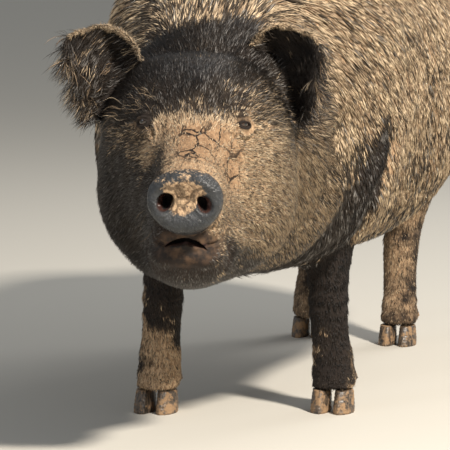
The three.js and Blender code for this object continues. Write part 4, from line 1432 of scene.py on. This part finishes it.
def makeClaw(name, material):
    claw = solidOf(name, 0)
    low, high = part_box(name)
    pieceName = name.replace("hoof", "claw") + "_horn"
    mesh = bpy.data.meshes.new(pieceName + "_rough")
    claw.to_mesh(mesh)
    claw.free()
    piece = bpy.data.objects.new(pieceName, mesh)
    bpy.context.scene.collection.objects.link(piece)
    remesh = piece.modifiers.new("remesh", "REMESH")
    remesh.mode = "VOXEL"
    remesh.voxel_size = hornLook["grain"] * mm
    smooth = bpy.data.meshes.new_from_object(piece.evaluated_get(bpy.context.evaluated_depsgraph_get()))
    piece.modifiers.clear()
    piece.data = smooth
    points, normals, edges = readMesh(smooth)
    flat = smoothStep(1.5 * mm, 8 * mm, points[:, 2] - low.z)
    rounded = roundOff(points, edges, 8)
    wave = points[:, 2] / mm * 2 * math.pi / hornLook["rippleLength"] + 1.5 * cellNoise(points, 0.02, 31)
    ripple = hornLook["ripple"] * mm * np.sin(wave)
    points = points + (rounded - points + normals * ripple[:, None]) * flat[:, None]
    points[:, 2] = np.maximum(points[:, 2], low.z)
    writePoints(smooth, points)
    smooth.materials.clear()
    smooth.materials.append(material)
    smooth.shade_smooth()
    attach(piece, "root")
    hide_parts(name)


horn = hornMaterial()
clawNodes = [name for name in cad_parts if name.startswith(("hoof", "dewclaw"))]
for name in clawNodes:
    makeClaw(name, horn)
print("stage:", len(clawNodes), "claws")


# The coat: closed, tapered locks of bristle

mesh = skin.data
mesh.calc_loop_triangles()
triangles = np.empty(len(mesh.loop_triangles) * 3, np.int32)
mesh.loop_triangles.foreach_get("vertices", triangles)
triangles = triangles.reshape(-1, 3)
points, normals, edges = readMesh(mesh)
middles = points[triangles].mean(1)
first, second, third = (points[triangles[:, i]] for i in range(3))
facing = np.cross(second - first, third - first)
areas = np.linalg.norm(facing, axis=1) / 2
triangleOwner = owners[triangles[:, 0]]
bald = np.maximum(np.maximum(bare, hollow), np.maximum(lids * 0.8, lip))[triangles].mean(1)


def scatterRoots(count, weight, seed):
    # roots spread over the chosen triangles, with the values of the skin at each root
    random = np.random.default_rng(seed)
    total = np.cumsum(areas * weight)
    picks = np.searchsorted(total, (np.arange(count) + random.random(count)) / count * total[-1])
    picks = np.minimum(picks, len(areas) - 1)
    a, b = np.sqrt(random.random(count)), random.random(count)
    shares = np.stack([1 - a, a * (1 - b), a * b], 1)
    corners = triangles[picks]
    roots = {"place": points, "normal": normals, "lie": field[:, :3], "length": field[:, 4], "mud": mud}
    for key, values in roots.items():
        roots[key] = np.einsum("ij,ij...->i...", shares, values[corners])
    roots["normal"] = unit(roots["normal"])
    roots["owner"] = triangleOwner[picks]
    return roots, random


def lockFaces(rings):
    faces = [(0, 1, 2)]
    for ring in range(rings - 1):
        for side in range(3):
            a, b = 3 * ring + side, 3 * ring + (side + 1) % 3
            faces += [(a, b + 3, b), (a, a + 3, b + 3)]
    last = 3 * (rings - 1)
    faces += [(last + side, 3 * rings, last + (side + 1) % 3) for side in range(3)]
    return np.array(faces)


def growCoat(name, count, weight, look):
    roots, random = scatterRoots(count, weight, look["seed"])
    place, normal = roots["place"], roots["normal"]
    lie = roots["lie"] + look["stray"] * random.normal(size=(count, 3))
    lie = unit(lie - normal * np.sum(lie * normal, 1, keepdims=True))
    side = np.cross(normal, lie)
    length = look.get("fixedLength", roots["length"]) * mm * look["length"]
    length = length * (0.6 + 0.8 * random.random(count))
    caked = smoothStep(0.14, 0.78, roots["mud"] + look.get("moreMud", 0))
    muddy = random.random(count) < (1 - look["gaps"]) * caked
    tone = look["toneTop"] * random.random(count)
    width = look["width"] * mm * (0.6 + 0.8 * random.random(count)) * np.where(muddy, 1, 0.85)
    lift = np.radians(look["lift"] * (0.5 + random.random(count)) + np.where(muddy, 0, 2.5))
    tip = place + lie * (length * np.cos(lift))[:, None] + normal * (length * np.sin(lift))[:, None]
    if look["clump"]:
        # neighbouring locks lean together where mud has dried on them, and mostly share its colour
        leaders = random.choice(count, count // look["clumpSize"], replace=False)
        tree = KDTree(len(leaders))
        for i, leader in enumerate(leaders):
            tree.insert(place[leader], i)
        tree.balance()
        nearest = leaders[[tree.find(spot)[1] for spot in place]]
        near = np.linalg.norm(place[nearest] - place, axis=1) < 14 * mm
        tip = tip + (tip[nearest] - tip) * (look["clump"] * near * random.random(count))[:, None]
        shared = near & (random.random(count) < look["sharing"])
        shareMud = shared & (muddy[nearest] | (random.random(count) < look["darkSharing"]))
        muddy = np.where(shareMud, muddy[nearest], muddy)
        tone = np.where(shared, 0.65 * tone[nearest] + 0.35 * tone, tone)
    rings = look["rings"]
    bend = look["bend"] * mm * random.normal(size=count)
    verts = np.empty((count, 3 * rings + 1, 3))
    alongs = np.empty(3 * rings + 1)
    for ring in range(rings + 1):
        share = ring / rings
        centre = place + (tip - place) * share
        rise = (look["arch"] * length * share * (1 - share)) - look["sink"] * mm * (1 - share)
        centre = centre + normal * rise[:, None]
        centre = centre + side * (bend * math.sin(share * math.pi * look["waves"]))[:, None]
        centre[:, 2] -= look.get("droop", 0) * length * share ** 2
        if ring == rings:
            verts[:, -1] = centre
            break
        half = (width * (1 - 0.5 * share) / 2)[:, None]
        verts[:, 3 * ring] = centre - side * half
        verts[:, 3 * ring + 1] = centre + side * half
        verts[:, 3 * ring + 2] = centre + normal * half * look["thick"]
        alongs[3 * ring:3 * ring + 3] = share
    alongs[-1] = 1
    template = lockFaces(rings)
    perVertex = 3 * rings + 1
    faces = (template[None] + (np.arange(count) * perVertex)[:, None, None]).reshape(-1, 3)
    piece = meshObject(name, verts.reshape(-1, 3), faces)
    lockMud = np.where(muddy, 0.75 + 0.25 * random.random(count), 0.2 * roots["mud"])
    setAttribute(piece.data, "mud", np.repeat(lockMud, perVertex))
    setAttribute(piece.data, "tone", np.repeat(tone, perVertex))
    setAttribute(piece.data, "along", np.tile(alongs, count))
    spots = unwrap(place, roots["owner"])
    patch = 0.003
    across = np.append(np.tile([-0.5, 0.5, 0.0], rings), 0.0) * patch * 0.8
    upward = (alongs - 0.5) * patch
    upward[2::3] -= 0.06 * patch
    perTuft = spots[:, None, :] + np.stack([across, upward], 1)[None]
    layer = piece.data.uv_layers.new(name="OFBake")
    layer.data.foreach_set("uv", perTuft.reshape(-1, 2)[faces.ravel()].astype(np.float32).ravel())
    piece.data.materials.append(bristleMaterial)
    piece.data.shade_smooth()
    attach(piece, "root")
    print("stage:", name, len(faces), "triangles")


# Millimetres for width, bend, sink and fixedLength, degrees for lift, and length as a share of the length
# given by the skin; gaps is the share of locks that stay clean and dark, which also stand for painted shade
# between the clumps, clump how far they lean together, rings the number of cross-sections
bodyCoat = {
    "seed": 1, "length": 1.0, "width": 3.6, "lift": 6, "stray": 0.14, "clump": 0.7, "clumpSize": 7,
    "rings": 2, "bend": 0.8, "waves": 1, "arch": 0.08, "sink": 0.8, "thick": 0.5, "gaps": 0.28, "toneTop": 1,
    "sharing": 0.75, "darkSharing": 0.35,
}
faceCoat = {**bodyCoat, "seed": 20, "length": 0.95, "width": 1.9, "lift": 9, "stray": 0.16, "clump": 0.4,
            "rings": 1, "sharing": 0.5}
legCoat = {**bodyCoat, "seed": 30, "width": 1.8, "lift": 9, "clump": 0.4, "toneTop": 0.66, "sharing": 0.5}
earCoat = {**bodyCoat, "seed": 40, "length": 0.6, "width": 1.4, "lift": 9, "stray": 0.2}
innerEarCoat = {**bodyCoat, "seed": 41, "fixedLength": 26, "width": 1.1, "lift": 12, "stray": 0.12,
                "rings": 3, "bend": 3.5, "clump": 0.4, "clumpSize": 6, "gaps": 0.5, "moreMud": 0.12,
                "arch": 0.25}
rimCoat = {**bodyCoat, "seed": 43, "fixedLength": 7, "width": 1.3, "lift": 26, "stray": 0.3, "rings": 1,
           "clump": 0, "moreMud": 0.8, "gaps": 0.1}
fringeCoat = {**bodyCoat, "seed": 44, "fixedLength": 32, "width": 1.1, "lift": 30, "stray": 0.25, "rings": 4,
              "bend": 4, "clump": 0.5, "droop": 0.25, "gaps": 0.5, "moreMud": 0.25}
whiskerCoat = {**bodyCoat, "seed": 60, "fixedLength": 34, "width": 0.5, "lift": 38, "stray": 0.45, "rings": 5,
               "bend": 4, "clump": 0, "droop": 0.3, "gaps": 0.5, "arch": 0.3, "moreMud": 0.6}

inTrunk = triangleOwner == "trunk"
front = middles[:, 1] < bodyPlace(0, 0.45, 0).y
left = middles[:, 0] > 0
headMiddles = inHead(middles)
crusted = crust[triangles].mean(1)


def nearHead(places, reach):
    # weight for hair round a few places of the head, in millimetres, the same on both sides
    weight = np.zeros(len(middles))
    for x, y, z in places:
        for side in (1, -1):
            away = np.linalg.norm(headMiddles - [x * side, y, z], axis=1)
            weight += np.exp(-(away / reach) ** 2)
    return weight * (bald < 0.2)


growCoat("coatShoulderLeft", 19000, inTrunk & front & left, bodyCoat)
growCoat("coatFlankLeft", 15000, inTrunk & ~front & left, {**bodyCoat, "seed": 2, "width": 4.2})
growCoat("coatShoulderRight", 13500, inTrunk & front & ~left, {**bodyCoat, "seed": 3, "width": 4.4})
growCoat("coatFlankRight", 12500, inTrunk & ~front & ~left, {**bodyCoat, "seed": 4, "width": 4.6})
growCoat("coatNeck", 17300, triangleOwner == "neck", {**bodyCoat, "seed": 5, "width": 3.4})
chin = smoothStep(-84, -96, headMiddles[:, 2]) * smoothStep(190, 225, headMiddles[:, 1])
inFace = np.isin(triangleOwner, ("head", "lower_jaw", "snout")) * np.clip(1 - 1.6 * bald, 0, 1)
inFace = inFace * (1 - 0.93 * crusted) * (1 - 0.6 * chin)
growCoat("coatFaceLeft", 46000, inFace * (headMiddles[:, 0] > 0), faceCoat)
growCoat("coatFaceRight", 38000, inFace * (headMiddles[:, 0] <= 0), {**faceCoat, "seed": 21, "toneTop": 0.9})
growCoat("coatForelegs", 9500, np.char.startswith(triangleOwner, "fore") * 1.0, legCoat)
growCoat("coatHindlegs", 9500, np.char.startswith(triangleOwner, "hind") * 1.0, {**legCoat, "seed": 31})
inEar = np.char.startswith(triangleOwner, "ear") * 1.0
innerEar = inEar * smoothStep(0.1, 0.45, -(unit(facing) @ np.array(headTurn))[:, 1])
rim = earRim[triangles].mean(1)
fringed = fringeSide[triangles].mean(1)
growCoat("coatEars", 6000, inEar * (1 - innerEar), earCoat)
inner = innerEar * (1 - 0.8 * rim * (1 - fringed))
growCoat("coatInnerEarRight", 1800, inner * ~left, innerEarCoat)
# the left ear's inner face is kept mostly clean and dark: painted shade inside the ear
growCoat("coatInnerEarLeft", 1800, inner * left, {**innerEarCoat, "seed": 42, "gaps": 0.88, "toneTop": 0.7})
growCoat("coatEarRims", 5000, inEar * smoothStep(0.1, 0.4, rim) * (fringed < 0.5), rimCoat)
growCoat("earFringe", 1700, inEar * smoothStep(0.3, 0.8, rim) * (fringed > 0.5), fringeCoat)
growCoat("coatTail", 1500, triangleOwner == "tail", {**legCoat, "seed": 50})
brows = ((66, 140, 116), (84, 124, 112), (100, 110, 96), (112, 92, 80))
muzzle = ((62, 258, -8), (60, 264, -40), (74, 232, -24))
growCoat("whiskersBrow", 130, nearHead(brows, 12), {**whiskerCoat, "fixedLength": 30, "gaps": 0.45})
growCoat("whiskersMuzzle", 80, nearHead(muzzle, 16), {**whiskerCoat, "seed": 61, "gaps": 0.85})

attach(skin, "root")
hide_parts(*fleshNodes)
